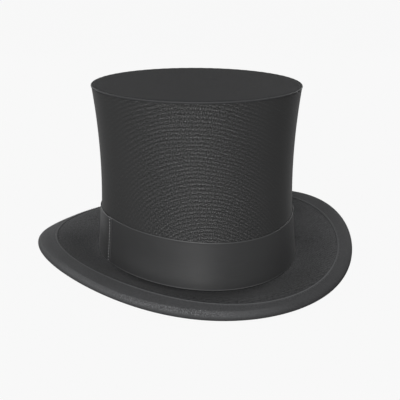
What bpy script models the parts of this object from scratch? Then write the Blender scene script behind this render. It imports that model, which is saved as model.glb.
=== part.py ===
"""Collapsible top hat (opera hat).

An oval crown of ribbed cloth is held open by four sprung two-arm struts
between a lower and an upper steel hoop.  Pressing the tip folds every strut
inwards at its knee and brings the tip straight down.

Axes: +Z up, +Y towards the front of the hat, +X towards the wearer's right.
Origin: under the centre of the crown, at the height of the brim's lowest point.
Sizes are in millimetres, turned into metres by MM.  Heights are measured from
the middle height of the crown's foot line, which lies FOOT_Z above the origin.
"""
import math

import bmesh
import bpy
from mathutils import Matrix, Vector

MM = 0.001
TURN = 2 * math.pi
SEG = 40                         # divisions round the hat
RING = [TURN * i / SEG for i in range(SEG)]
GAP = 0.3                        # gap kept between neighbouring layers

# ---- crown ------------------------------------------------------------------
BASE_X, BASE_Y = 92.6, 98.9      # outer half-axes of the crown at its foot
TOP_X, TOP_Y = 93.1, 97.7        # outer half-axes of the crown at the tip
TIP_Z = 157.9                    # height of the crown
WAIST = 5.2                      # how far the side is drawn in at half height
FOOT_SADDLE = 3.3                # the foot line rises this much at the sides
CLOTH_T = 0.8                    # ribbed cloth and its backing
CLOTH_FOOT = 0.4                 # cloth and stiffening start this far above the foot line
CLOTH_TOP_DROP = 2.4             # top of the side cloth, below the tip
CLOTH_LOW_ZS = (22.0, 48.0)      # lower stations of the side cloth
SIDE_ZS = (78.0, 108.0, 134.0)   # stations shared by the side cloth and the lining

# ---- ribbon band ------------------------------------------------------------
BAND_H = 42.1                    # top of the band, above the foot line
BAND_T = 0.7
BAND_FOOT = 1.0
BAND_CLEARANCE = 0.05            # added to GAP under the band
SEAM_DEG = 178.5                 # where the band's lapped end lies
LAP_DEG = 5.3
RAMP_DEG = 7.5                   # the far end climbs over this angle before the seam
LAP_CLEARANCE = 0.1              # added to GAP between the lapped ends

# ---- brim -------------------------------------------------------------------
EDGE_X, EDGE_Y = 146.6, 147.8    # half-axes of the centre of the rolled edge
EDGE_SQUARE = 0.0162             # how much the outline draws in at the diagonals
# Numbers 0, 2 and 4 are the mean and the cos 2t and cos 4t terms round the hat.
EDGE_Z0, EDGE_Z2, EDGE_Z4 = 7.7, 10.9, 1.5      # height of the edge
BIND_Z0, BIND_Z2 = 13.75, 8.2                   # height of the binding's inner edge
BIND_W0, BIND_W2 = 10.3, 4.1                    # its distance from the edge
BIND_T = 0.7
ROLL_R = 2.95                    # middle of the binding round the rolled edge
ROLL_STEPS = 6
BOARD_T = 1.6
FACING_T = 0.6
BRIM_INNER = 2.0                 # brim reaches this far inside the crown's outer face
BOARD_STOP = 2.0                 # board ends this far short of the edge's centre
FACING_STOP = 2.2                # and so do the cloths
WIRE_R = 1.1
FOOT_SLOPE = 0.30                # slope at the foot, as a share of the inner chord's
BIND_SLOPE = 0.5                 # slope at the binding, as a share of both chords' sum
EDGE_SLOPE, EDGE_SLOPE_DROP = 1.35, 0.15        # share of the outer chord's, less a drop
STACK = BOARD_T / 2 + GAP + FACING_T            # half of the layered brim

# ---- tip --------------------------------------------------------------------
TIP_CLOTH_T, TIP_BOARD_T, TIP_LINING_T = 0.9, 1.6, 0.6
TIP_IN = 1.7                     # tip layers end this far inside the crown's top
TIP_LINING_IN = 0.2              # the lining is smaller still
PIPING_R = 0.9
PIPING_IN, PIPING_DROP = 0.45, 1.1              # piping's centre, from the top's rim

# ---- inside of the crown ----------------------------------------------------
STIFF_T = 1.2
STIFF_MID, STIFF_TOP = 18.0, 36.0
HOOP_T = 1.5
LOWER_HOOP_ZS = (37.0, 46.0)
UPPER_HOOP_ZS = (TIP_Z - 12.6, TIP_Z - 4.7)
LINING_T = 0.5
LINING_END_GAP = 0.6             # from the lining to each hoop's edge
LEATHER_T = 1.2
SWEAT_DROP = 1.6                 # sweatband hangs this far below the foot line
SWEAT_MID, SWEAT_TOP = 17.0, 35.0
SWEAT_IN = 3.3                   # middle of the leather, in from the crown's outer face
SWEAT_HALF_GAP = 1.0             # half of the opening at the back
SWEAT_MIN_STEP = 0.01            # radians kept between the ends and other stations
REED_R = 0.8
REED_IN = 0.1                    # reed's centre, in from the middle of the leather

# ---- struts -----------------------------------------------------------------
STRUT_DEG = (45.0, 135.0, 225.0, 315.0)
PIVOT_IN = 5.7                   # pivots lie this far inside the lower hoop
LOWER_PIVOT_Z = 43.3
UPPER_PIVOT_Z = TIP_Z - 8.4
ARM_L = (UPPER_PIVOT_Z - LOWER_PIVOT_Z) / 2
KNEE_Z = LOWER_PIVOT_Z + ARM_L
ARM_T = 1.4
ARM_W = 5.0
EYE_R = 3.0
HOLE_R = 1.5
EYE_STEPS, HOLE_STEPS = 8, 10
LAYER = 0.9                      # arms lie side by side, this far either way
PIN_R = 1.25
HEAD_R = 2.4
HEAD_T = 0.8
HEAD_TAPER = 0.3
PIN_STEPS = 10
PIN_PLAY = 0.3                   # gap under each pin head
HEAD_Y = LAYER + ARM_T / 2 + PIN_PLAY           # underside of a pin's head
PLATE_T, PLATE_W, PLATE_H = 0.8, 13.0, 7.0      # bracket plate
PLATE_GAP = 1.0                  # from the hoop's inner face at the plate's middle
SPRING_R, SPRING_WIRE, SPRING_TURNS, SPRING_PITCH = 2.5, 0.35, 2.5, 0.85
SPRING_STEPS = 8                 # divisions in a turn
SPRING_PLAY = 0.1                # from the underside-of-head height to the first coil
SPRING_LEG_ZS = (7.0, 13.0)      # where each leg begins and ends, from the knee

# ---- finishes ---------------------------------------------------------------
RIBBED = dict(rgb=(0.045, 0.046, 0.048), roughness=0.75)
SATIN = dict(rgb=(0.05, 0.05, 0.052), roughness=0.42)
FELT = dict(rgb=(0.035, 0.036, 0.037), roughness=0.85)
BOARD = dict(rgb=(0.10, 0.085, 0.065), roughness=0.9)
LINING = dict(rgb=(0.55, 0.52, 0.46), roughness=0.4)
LEATHER = dict(rgb=(0.18, 0.085, 0.04), roughness=0.5)
STEEL = dict(rgb=(0.42, 0.43, 0.45), roughness=0.35, metallic=0.9)
DARK_STEEL = dict(rgb=(0.20, 0.21, 0.23), roughness=0.4, metallic=0.9)


# ---- outlines ---------------------------------------------------------------
def foot(angle):
    """Height of the crown's foot line."""
    return FOOT_SADDLE * math.cos(2 * angle)


def crown_half_axes(z):
    share = min(1.0, max(0.0, z / TIP_Z))
    draw = WAIST * 4 * share * (1 - share)
    return (BASE_X + (TOP_X - BASE_X) * share - draw,
            BASE_Y + (TOP_Y - BASE_Y) * share - draw)


def crown_point(angle, z, inset=0.0):
    half_x, half_y = crown_half_axes(z)
    return ((half_x - inset) * math.cos(angle), (half_y - inset) * math.sin(angle), z)


def edge_xy(angle):
    draw = 1 - EDGE_SQUARE * (1 - math.cos(4 * angle)) / 2
    return EDGE_X * draw * math.cos(angle), EDGE_Y * draw * math.sin(angle)


def edge_z(angle):
    return EDGE_Z0 + EDGE_Z2 * math.cos(2 * angle) + EDGE_Z4 * math.cos(4 * angle)


# Puts the binding's lowest point at about z = 0, found from half-degree samples.
FOOT_Z = ROLL_R + BIND_T / 2 - min(edge_z(TURN * i / 720) for i in range(720))


class BrimSection:
    """Section of the brim's middle surface at one angle: height over distance.

    Distance runs outwards from the crown's foot. Two cubics meet at the
    binding's inner edge.
    """

    def __init__(self, angle):
        foot_x, foot_y, _ = crown_point(angle, foot(angle))
        edge_x, edge_y = edge_xy(angle)
        self.foot_xy = (foot_x, foot_y)
        self.length = math.hypot(edge_x - foot_x, edge_y - foot_y)
        self.direction = ((edge_x - foot_x) / self.length, (edge_y - foot_y) / self.length)
        wave = math.cos(2 * angle)
        bind_width = BIND_W0 + BIND_W2 * wave
        self.bind_at = self.length - bind_width
        self.foot_z = foot(angle) - STACK
        self.bind_z = BIND_Z0 + BIND_Z2 * wave - STACK - GAP - BIND_T
        self.edge_z = edge_z(angle)
        inner_chord = (self.bind_z - self.foot_z) / self.bind_at
        outer_chord = (self.edge_z - self.bind_z) / bind_width
        self.foot_slope = FOOT_SLOPE * inner_chord
        self.bind_slope = BIND_SLOPE * (inner_chord + outer_chord)
        self.edge_slope = EDGE_SLOPE * outer_chord - EDGE_SLOPE_DROP

    def z_slope(self, distance):
        """Height and slope; inside the crown's foot the section runs straight."""
        if distance <= 0:
            return self.foot_z + self.foot_slope * distance, self.foot_slope
        if distance <= self.bind_at:
            start, span = 0.0, self.bind_at
            z_in, z_out = self.foot_z, self.bind_z
            slope_in, slope_out = self.foot_slope, self.bind_slope
        else:
            start, span = self.bind_at, self.length - self.bind_at
            z_in, z_out = self.bind_z, self.edge_z
            slope_in, slope_out = self.bind_slope, self.edge_slope
        s = (distance - start) / span
        z = ((2 * s ** 3 - 3 * s ** 2 + 1) * z_in
             + (s ** 3 - 2 * s ** 2 + s) * span * slope_in
             + (-2 * s ** 3 + 3 * s ** 2) * z_out
             + (s ** 3 - s ** 2) * span * slope_out)
        slope = ((6 * s ** 2 - 6 * s) * z_in / span
                 + (3 * s ** 2 - 4 * s + 1) * slope_in
                 + (6 * s - 6 * s ** 2) * z_out / span
                 + (3 * s ** 2 - 2 * s) * slope_out)
        return z, slope

    def point(self, distance, z):
        return (self.foot_xy[0] + self.direction[0] * distance,
                self.foot_xy[1] + self.direction[1] * distance, z)

    def offset_point(self, distance, offset):
        """Point on the section, moved by offset along its upward normal."""
        z, slope = self.z_slope(distance)
        norm = math.hypot(1, slope)
        return self.point(distance - slope / norm * offset, z + offset / norm)


# ---- scene and objects ------------------------------------------------------
for old in list(bpy.data.objects):
    bpy.data.objects.remove(old, do_unlink=True)

PARTS = bpy.data.collections.new("opera_hat")
CUTTERS = bpy.data.collections.new("opera_hat_cutters")
bpy.context.scene.collection.children.link(PARTS)
bpy.context.scene.collection.children.link(CUTTERS)


def material(name, rgb, roughness, metallic=0.0):
    mat = bpy.data.materials.new(name)
    mat.use_nodes = True
    bsdf = mat.node_tree.nodes["Principled BSDF"]
    bsdf.inputs["Base Color"].default_value = (*rgb, 1)
    bsdf.inputs["Roughness"].default_value = roughness
    bsdf.inputs["Metallic"].default_value = metallic
    return mat


def add_part(name, mesh, finish, sharp_deg=40):
    """Object in the hat's collection, with a material of its own name."""
    obj = bpy.data.objects.new(name, mesh)
    PARTS.objects.link(obj)
    mesh.materials.append(material(name, **finish))
    mesh.shade_smooth()
    mesh.set_sharp_from_angle(angle=math.radians(sharp_deg))
    return obj


def bmesh_to_mesh(bm, name):
    mesh = bpy.data.meshes.new(name)
    bm.to_mesh(mesh)
    bm.free()
    return mesh


# ---- builders ---------------------------------------------------------------
def shell(name, rows, thickness, finish, closed=True):
    """Sheet through rows of points, thickened equally to both sides."""
    cols = len(rows[0])
    verts = [(x * MM, y * MM, (z + FOOT_Z) * MM) for row in rows for x, y, z in row]
    faces = []
    for r in range(len(rows) - 1):
        for c in range(cols if closed else cols - 1):
            d = (c + 1) % cols
            faces.append((r * cols + c, r * cols + d, (r + 1) * cols + d, (r + 1) * cols + c))
    mesh = bpy.data.meshes.new(name)
    mesh.from_pydata(verts, [], faces)
    mod = add_part(name, mesh, finish).modifiers.new("thickness", 'SOLIDIFY')
    mod.thickness = thickness * MM
    mod.offset = 0
    mod.use_even_offset = True


def wall(name, inset, thickness, heights, finish, angles=RING, closed=True):
    """Upright sheet along the crown's side; heights are numbers or functions of angle."""
    rows = [[crown_point(t, z(t) if callable(z) else z, inset) for t in angles]
            for z in heights]
    shell(name, rows, thickness, finish, closed)


def disc(name, half_x, half_y, z_low, z_high, finish):
    bm = bmesh.new()
    bmesh.ops.create_cone(bm, cap_ends=True, cap_tris=False, segments=SEG,
                          radius1=1, radius2=1, depth=1)
    bm.verts.ensure_lookup_table()
    # Turn a corner onto +X so that the disc's corners match the crown's.
    first = bm.verts[0].co
    bmesh.ops.rotate(bm, verts=bm.verts, cent=(0, 0, 0),
                     matrix=Matrix.Rotation(-math.atan2(first.y, first.x), 3, 'Z'))
    for v in bm.verts:
        z = z_high if v.co.z > 0 else z_low
        v.co = Vector((v.co.x * half_x * MM, v.co.y * half_y * MM, (z + FOOT_Z) * MM))
    add_part(name, bmesh_to_mesh(bm, name), finish)


def add_spline(curve, points, cyclic):
    spline = curve.splines.new('POLY')
    spline.points.add(len(points) - 1)
    for target, (x, y, z) in zip(spline.points, points):
        target.co = (x * MM, y * MM, z * MM, 1)
    spline.use_cyclic_u = cyclic


def curve_to_part(name, curve, finish, sharp_deg=40):
    """Turn a curve into a welded mesh part."""
    temp = bpy.data.objects.new(name + "_curve", curve)
    bpy.context.scene.collection.objects.link(temp)
    depsgraph = bpy.context.evaluated_depsgraph_get()
    mesh = bpy.data.meshes.new_from_object(temp.evaluated_get(depsgraph))
    bpy.data.objects.remove(temp, do_unlink=True)
    bm = bmesh.new()
    bm.from_mesh(mesh)
    bmesh.ops.remove_doubles(bm, verts=bm.verts, dist=0.02 * MM)
    bmesh.ops.recalc_face_normals(bm, faces=bm.faces)
    bm.to_mesh(mesh)
    bm.free()
    mesh.name = name
    return add_part(name, mesh, finish, sharp_deg)


def wire(name, points, radius, finish, cyclic, bevel_resolution):
    """Round wire through points measured from the object's origin."""
    curve = bpy.data.curves.new(name, 'CURVE')
    curve.dimensions = '3D'
    add_spline(curve, points, cyclic)
    curve.bevel_depth = radius * MM
    curve.bevel_resolution = bevel_resolution
    curve.use_fill_caps = not cyclic
    return curve_to_part(name, curve, finish)


def wire_ring(name, points, radius, finish):
    """Closed wire round the hat, through points measured from the foot line."""
    raised = [(x, y, z + FOOT_Z) for x, y, z in points]
    wire(name, raised, radius, finish, cyclic=True, bevel_resolution=1)


def flat_plate(name, loops, y_middle, finish):
    """Plate with holes, as thick as an arm. Outline in x and z, thickness along y."""
    curve = bpy.data.curves.new(name, 'CURVE')
    curve.dimensions = '2D'
    curve.fill_mode = 'BOTH'
    curve.extrude = ARM_T / 2 * MM
    for loop in loops:
        add_spline(curve, [(x, z, 0) for x, z in loop], cyclic=True)
    obj = curve_to_part(name, curve, finish, sharp_deg=35)
    obj.data.transform(Matrix.Rotation(math.pi / 2, 4, 'X'))
    obj.data.transform(Matrix.Translation((0, y_middle * MM, 0)))
    return obj


def arc(z, radius, steps, start, sweep):
    """Points of an arc centred at x = 0, both ends included."""
    return [(radius * math.cos(start + sweep * i / steps),
             z + radius * math.sin(start + sweep * i / steps)) for i in range(steps + 1)]


def hole(z):
    return arc(z, HOLE_R, HOLE_STEPS, 0.0, TURN)[:-1]


# ---- brim -------------------------------------------------------------------
SECTIONS = [BrimSection(t) for t in RING]


def brim_layer(name, offset, thickness, finish, stop):
    """Layer whose middle lies offset above the brim's middle surface."""
    columns = []
    for section in SECTIONS:
        bind_at = section.bind_at
        end = section.length - stop
        stations = (-BRIM_INNER, 0.0, 0.35 * bind_at, 0.7 * bind_at, bind_at,
                    0.5 * (bind_at + end), end)
        columns.append([section.offset_point(station, offset) for station in stations])
    shell(name, list(zip(*columns)), thickness, finish)


def binding_column(section):
    """Binding's middle line: over the brim, round the rolled edge, back below."""
    near = STACK + GAP + BIND_T / 2

    def flank(share, side):
        distance = section.bind_at + (section.length - section.bind_at) * share
        return section.offset_point(distance, side * (near + (ROLL_R - near) * share ** 2))

    tilt = math.atan(section.z_slope(section.length)[1])
    roll = []
    for i in range(ROLL_STEPS + 1):
        angle = tilt + math.pi / 2 - math.pi * i / ROLL_STEPS
        roll.append(section.point(section.length + ROLL_R * math.cos(angle),
                                  section.edge_z + ROLL_R * math.sin(angle)))
    above = [flank(share, 1) for share in (0, 1 / 3, 2 / 3)]
    below = [flank(share, -1) for share in (0.5, 0)]
    return above + roll + below


facing_offset = BOARD_T / 2 + GAP + FACING_T / 2
brim_layer("brim_board", 0.0, BOARD_T, BOARD, BOARD_STOP)
brim_layer("brim_top_cloth", facing_offset, FACING_T, RIBBED, FACING_STOP)
brim_layer("brim_under_cloth", -facing_offset, FACING_T, FELT, FACING_STOP)
wire_ring("brim_edge_wire", [(*edge_xy(t), edge_z(t)) for t in RING], WIRE_R, DARK_STEEL)
shell("brim_binding", list(zip(*map(binding_column, SECTIONS))), BIND_T, SATIN)


# ---- crown: cloth, stiffening and band --------------------------------------
def cloth_foot(angle):
    return foot(angle) + CLOTH_FOOT


wall("crown_side_cloth", CLOTH_T / 2, CLOTH_T,
     [cloth_foot, *CLOTH_LOW_ZS, *SIDE_ZS, TIP_Z - CLOTH_TOP_DROP], RIBBED)
wall("crown_base_band", CLOTH_T + GAP + STIFF_T / 2, STIFF_T,
     [cloth_foot, STIFF_MID, STIFF_TOP], BOARD)


def hat_band():
    """Ribbon round the crown; its far end climbs over its near end."""
    seam = math.radians(SEAM_DEG)
    lap = math.radians(LAP_DEG)
    ramp = math.radians(RAMP_DEG)
    ramp_start = seam - ramp + TURN
    ring_stops = {t + TURN * k for t in RING for k in (0, 1)
                  if seam < t + TURN * k < seam + lap + TURN}
    stops = sorted({seam, seam + lap, ramp_start, seam + TURN, seam + lap + TURN}
                   | ring_stops)

    def band_point(angle, share):
        climb = min(1.0, max(0.0, (angle - ramp_start) / ramp))
        lift = (BAND_T + GAP + LAP_CLEARANCE) * climb
        z = foot(angle) + BAND_FOOT + (BAND_H - BAND_FOOT) * share
        return crown_point(angle, z, -(GAP + BAND_CLEARANCE + BAND_T / 2 + lift))

    rows = [[band_point(t, share) for t in stops] for share in (0.0, 0.5, 1.0)]
    shell("hat_band", rows, BAND_T, SATIN, closed=False)


hat_band()

# ---- tip --------------------------------------------------------------------
tip_top = TIP_Z
for name, inset, thickness, finish in (
        ("tip_cloth", TIP_IN, TIP_CLOTH_T, RIBBED),
        ("tip_board", TIP_IN, TIP_BOARD_T, BOARD),
        ("tip_lining", TIP_IN + TIP_LINING_IN, TIP_LINING_T, LINING)):
    disc(name, TOP_X - inset, TOP_Y - inset, tip_top - thickness, tip_top, finish)
    tip_top -= thickness + GAP

wire_ring("tip_edge_piping",
          [((TOP_X - PIPING_IN) * math.cos(t), (TOP_Y - PIPING_IN) * math.sin(t),
            TIP_Z - PIPING_DROP) for t in RING], PIPING_R, SATIN)

# ---- hoops and lining -------------------------------------------------------
hoop_inset = CLOTH_T + GAP + HOOP_T / 2
wall("lower_hoop", hoop_inset, HOOP_T, LOWER_HOOP_ZS, STEEL)
wall("upper_hoop", hoop_inset, HOOP_T, UPPER_HOOP_ZS, STEEL)
wall("side_lining", CLOTH_T + GAP + LINING_T / 2, LINING_T,
     [LOWER_HOOP_ZS[1] + LINING_END_GAP, *SIDE_ZS, UPPER_HOOP_ZS[0] - LINING_END_GAP],
     LINING)


# ---- sweatband --------------------------------------------------------------
def sweat_foot(angle):
    return foot(angle) - SWEAT_DROP


def sweatband():
    """Leather inside the crown, open at the back, with a reed under its lower edge."""
    back = 1.5 * math.pi
    half_gap = SWEAT_HALF_GAP / BASE_Y
    start, end = back + half_gap, back + TURN - half_gap
    between = [t + TURN * k for k in (0, 1) for t in RING
               if start + SWEAT_MIN_STEP < t + TURN * k < end - SWEAT_MIN_STEP]
    wall("sweatband", SWEAT_IN, LEATHER_T, [sweat_foot, SWEAT_MID, SWEAT_TOP], LEATHER,
         angles=[start, *between, end], closed=False)
    wire_ring("sweatband_reed",
              [crown_point(t, sweat_foot(t) - GAP - REED_R, SWEAT_IN + REED_IN)
               for t in RING], REED_R, SATIN)


sweatband()


# ---- struts: local +X points outwards, pins run along local Y ---------------
def hoop_inner(z):
    """Half-axes of a hoop's inner face."""
    half_x, half_y = crown_half_axes(z)
    inset = CLOTH_T + GAP + HOOP_T
    return half_x - inset, half_y - inset


def strut_frame(deg):
    """Point of the lower pivot in plan and the outward normal of the hoop there."""
    angle = math.radians(deg)
    half_x, half_y = hoop_inner(LOWER_PIVOT_Z)
    outward = Vector((math.cos(angle) / half_x, math.sin(angle) / half_y, 0)).normalized()
    on_hoop = Vector((half_x * math.cos(angle), half_y * math.sin(angle), 0))
    return on_hoop - outward * PIVOT_IN, outward


def hoop_distance(pivot, outward, z):
    """Distance outwards from the pivot line to a hoop's inner face."""
    half_x, half_y = hoop_inner(z)
    # Coefficients of the quadratic for a ray meeting the ellipse.
    square = (outward.x / half_x) ** 2 + (outward.y / half_y) ** 2
    linear = 2 * (pivot.x * outward.x / half_x ** 2 + pivot.y * outward.y / half_y ** 2)
    constant = (pivot.x / half_x) ** 2 + (pivot.y / half_y) ** 2 - 1
    return (-linear + math.sqrt(linear * linear - 4 * square * constant)) / (2 * square)


def arm(name, y_middle):
    """Flat arm with an eye at each end; its origin is the lower eye."""
    neck = math.asin(ARM_W / 2 / EYE_R)
    sweep = 2 * (math.pi - neck)
    outline = (arc(0, EYE_R, EYE_STEPS, math.pi / 2 + neck, sweep)
               + arc(ARM_L, EYE_R, EYE_STEPS, neck - math.pi / 2, sweep))
    return flat_plate(name, [outline, hole(0), hole(ARM_L)], y_middle, STEEL)


def bracket(name, y_middle, depth, lift):
    """Lug with an eye, joined to a plate near the hoop; the origin is the eye."""
    plate_x = depth - PLATE_GAP - PLATE_T / 2
    eye = arc(0, EYE_R, EYE_STEPS, math.pi / 2, math.pi)
    outline = eye + [(plate_x, -EYE_R), (plate_x, EYE_R)]
    lug = flat_plate(name, [outline, hole(0)], y_middle, STEEL)

    bm = bmesh.new()
    bmesh.ops.create_cube(bm, size=1)
    for v in bm.verts:
        v.co = Vector(((plate_x + v.co.x * PLATE_T) * MM, (v.co.y * PLATE_W) * MM,
                       (lift + v.co.z * PLATE_H) * MM))
    plate_name = name + "_plate"
    plate = bpy.data.objects.new(plate_name, bmesh_to_mesh(bm, plate_name))
    CUTTERS.objects.link(plate)
    plate.hide_render = True
    plate.display_type = 'WIRE'
    mod = lug.modifiers.new("join plate", 'BOOLEAN')
    mod.operation = 'UNION'
    mod.solver = 'EXACT'
    mod.object = plate
    return lug, plate


def pin(name, y_high=HEAD_Y):
    """Headed pin along y, turned from a profile of (radius, place along y)."""
    y_low = -HEAD_Y
    profile = [(0, y_high + HEAD_T), (HEAD_R - HEAD_TAPER, y_high + HEAD_T),
               (HEAD_R, y_high), (PIN_R, y_high), (PIN_R, y_low), (HEAD_R, y_low),
               (HEAD_R - HEAD_TAPER, y_low - HEAD_T), (0, y_low - HEAD_T)]
    mesh = bpy.data.meshes.new(name)
    mesh.from_pydata([(radius * MM, y * MM, 0) for radius, y in profile],
                     [(i, i + 1) for i in range(len(profile) - 1)], [])
    obj = add_part(name, mesh, DARK_STEEL)
    mod = obj.modifiers.new("turn", 'SCREW')
    mod.axis = 'Y'
    mod.steps = mod.render_steps = PIN_STEPS
    mod.use_merge_vertices = True
    mod.merge_threshold = 0.01 * MM
    return obj


def knee_spring(name):
    """Coil round the knee pin with a leg along each arm; origin at the knee."""
    y_start = HEAD_Y + SPRING_WIRE + SPRING_PLAY
    leg_near, leg_far = SPRING_LEG_ZS
    points = [(-SPRING_R, y_start, leg_far), (-SPRING_R, y_start, leg_near)]
    for i in range(int(SPRING_TURNS * SPRING_STEPS) + 1):
        angle = math.pi + TURN * i / SPRING_STEPS
        points.append((SPRING_R * math.cos(angle), y_start + SPRING_PITCH * i / SPRING_STEPS,
                       SPRING_R * math.sin(angle)))
    y_end = points[-1][1]
    points += [(SPRING_R, y_end, -leg_near), (SPRING_R, y_end, -leg_far)]
    return wire(name, points, SPRING_WIRE, DARK_STEEL, cyclic=False, bevel_resolution=0)


def strut(number, deg):
    pivot, outward = strut_frame(deg)

    def place(obj, z):
        obj.location = (pivot.x * MM, pivot.y * MM, (z + FOOT_Z) * MM)
        obj.rotation_euler = (0, 0, math.atan2(outward.y, outward.x))

    place(arm(f"lower_arm_{number}", -LAYER), LOWER_PIVOT_Z)
    place(arm(f"upper_arm_{number}", LAYER), KNEE_Z)

    for level, y_middle, hoop_zs, pivot_z in (
            ("lower", LAYER, LOWER_HOOP_ZS, LOWER_PIVOT_Z),
            ("upper", -LAYER, UPPER_HOOP_ZS, UPPER_PIVOT_Z)):
        hoop_mid = sum(hoop_zs) / 2
        depth = hoop_distance(pivot, outward, hoop_mid)
        for obj in bracket(f"{level}_bracket_{number}", y_middle, depth, hoop_mid - pivot_z):
            place(obj, pivot_z)
        place(pin(f"{level}_pin_{number}"), pivot_z)

    # The knee pin is longer, to carry the coil.
    coil_end = (HEAD_Y + SPRING_WIRE * 2 + SPRING_PLAY + SPRING_PITCH * SPRING_TURNS
                + PIN_PLAY)
    place(pin(f"knee_pin_{number}", coil_end), KNEE_Z)
    place(knee_spring(f"knee_spring_{number}"), KNEE_Z)


for number, deg in enumerate(STRUT_DEG, 1):
    strut(number, deg)
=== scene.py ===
"""Looks of a collapsible top hat, built round its CAD frame.

The hat stands upright on z, with the oval's long axis along y. Shapes are worked out in
millimetres with z = 0 at the crown's foot, and turned into metres above the floor as meshes are
made. Angles run round z from +x. The sweatband's gap is at -y and the band's lapped end near -x.
The camera looks from between the two, and "left" and "right" are as the camera sees them.
"""
import math
from functools import cached_property

import bmesh
import bpy
import numpy as np
from mathutils import Matrix, Vector


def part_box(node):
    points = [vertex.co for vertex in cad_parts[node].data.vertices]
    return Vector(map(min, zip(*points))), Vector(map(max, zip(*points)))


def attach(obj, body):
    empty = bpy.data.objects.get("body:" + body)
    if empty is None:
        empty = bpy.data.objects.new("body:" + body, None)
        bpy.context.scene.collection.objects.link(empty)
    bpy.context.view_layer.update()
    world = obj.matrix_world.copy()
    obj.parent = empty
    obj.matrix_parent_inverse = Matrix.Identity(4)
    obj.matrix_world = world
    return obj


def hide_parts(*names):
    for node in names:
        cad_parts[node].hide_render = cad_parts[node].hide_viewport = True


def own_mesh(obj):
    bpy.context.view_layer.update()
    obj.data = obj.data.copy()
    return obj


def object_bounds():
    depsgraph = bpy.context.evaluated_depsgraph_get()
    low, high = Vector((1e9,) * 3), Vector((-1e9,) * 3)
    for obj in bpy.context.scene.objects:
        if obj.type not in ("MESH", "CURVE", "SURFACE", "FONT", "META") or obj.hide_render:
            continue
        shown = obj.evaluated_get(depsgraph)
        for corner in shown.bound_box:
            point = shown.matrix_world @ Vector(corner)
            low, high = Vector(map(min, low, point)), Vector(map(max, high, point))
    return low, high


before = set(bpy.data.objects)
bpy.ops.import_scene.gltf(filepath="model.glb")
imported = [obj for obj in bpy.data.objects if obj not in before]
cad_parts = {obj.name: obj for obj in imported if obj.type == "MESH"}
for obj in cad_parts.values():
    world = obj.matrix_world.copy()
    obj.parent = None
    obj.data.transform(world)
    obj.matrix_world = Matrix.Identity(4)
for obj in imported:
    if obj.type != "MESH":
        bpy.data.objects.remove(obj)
cad_box = [list(map(float, v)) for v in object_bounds()]

MM = 0.001
TWO_PI = 2 * math.pi

# ---- sizes in millimetres -----------------------------------------------------------
BASE_X, BASE_Y, TOP_X, TOP_Y = 92.6, 98.9, 93.1, 97.7   # half axes of the crown's ovals
CROWN_H = 157.9
WAIST = 5.2                     # how far the crown draws in half way up
FOOT_SADDLE = 3.3               # rise of the foot at +-x, and its fall at +-y
FOOT_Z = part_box("tip_cloth")[1].z / MM - CROWN_H        # the crown's foot above the floor

BAND_H, BAND_FOOT = 42.1, 1.0
BAND_WIDTH = BAND_H - BAND_FOOT
BAND_OUT, BAND_HALF = 0.74, 0.22            # its middle outside the crown, half its thickness
BAND_STEP = 0.70                            # the lapped end lies this much further out
SEAM, LAP = math.radians(178.5), math.radians(4.6)

EDGE_X, EDGE_Y, EDGE_SQUARE = 146.6, 147.8, 0.0162      # outline of the brim
EDGE_Z0, EDGE_Z2, EDGE_Z4 = 7.7, 10.9, 1.5              # height of its edge: mean and waves
BIND_Z0, BIND_Z2, BIND_W0, BIND_W2 = 13.75, 8.2, 10.3, 4.1     # inner edge of the binding
ROLL_R = 2.95                               # rolled edge
STACK = 1.7                                 # brim's middle to the outside of its cloth
BRIM_CLOTH = 0.6
BIND_HALF = 0.30

RIB_PITCH = 3.3
FIELDS = 3                                  # watered fields round the crown
FIELD_FADE = (math.radians(18), math.radians(50))

LOWER_HOOP_Z = (37.0, 46.0)
UPPER_HOOP_Z = (CROWN_H - 12.6, CROWN_H - 4.7)
HOOP_INSET, HOOP_THICK = 1.85, 1.4
# the cloth flattens between these heights; beyond them the hoops lie behind it
SPLIT_LOW, SPLIT_HIGH, SIDE_TOP = 46.75, CROWN_H - 13.4, CROWN_H - 1.98
TIP_IN = 1.7
SWEAT_IN, SWEAT_TOP, SWEAT_THICK = 3.3, 35.0, 1.1
SWEAT_GAP_AT = 1.5 * math.pi

PIVOT_IN, LOWER_PIVOT_Z, UPPER_PIVOT_DROP = 5.7, 43.3, 8.4
UPPER_PIVOT_Z = CROWN_H - UPPER_PIVOT_DROP
ARM_L = (UPPER_PIVOT_Z - LOWER_PIVOT_Z) / 2
EYE_R, ARM_W, ARM_T, HOLE_R = 3.0, 5.0, 1.4, 1.5
LAYER = 0.9                     # each arm lies this far to its own side of the strut's middle
FOLD = math.radians(85)
TRAVEL = 2 * ARM_L * (1 - math.cos(FOLD))

# ---- camera, in millimetres before it is turned round the hat -------------------------
CAM_TURN = math.radians(30.66)
CAM_AT = (3.48, -606.96, 252.8)
CAM_PITCH = math.radians(-18.83)
CAM_LENS = 60.4881
FACING = -math.pi / 2 - CAM_TURN            # angle of the side that faces the camera

# ---- linear tones ---------------------------------------------------------------------
CROWN_TONE = (0.0484, 0.0487, 0.0489)
# painted shade: the tip has the crown's cloth, with its tone lowered as shade on the upward face
TIP_TONE = (0.0197, 0.0200, 0.0208)
BRIM_TONE = (0.0510, 0.0515, 0.0530)
BAND_TONE = (0.0538, 0.0542, 0.0550)
BIND_TONE = (0.0675, 0.0681, 0.0700)
PIPE_TONE = (0.0500, 0.0505, 0.0520)
RUST = (0.16, 0.085, 0.045)
BLUING = (0.78, 0.84, 0.98)                 # factors on the tone of steel


def ring_angles(count):
    return np.linspace(0, TWO_PI, count, endpoint=False)


ROUND = ring_angles(360)
CLOTH_ROUND = ring_angles(480)
LINING_ROUND = ring_angles(720)
PIPING_ROUND = ring_angles(480)
ROWS_PER_RIB = 6


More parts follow.
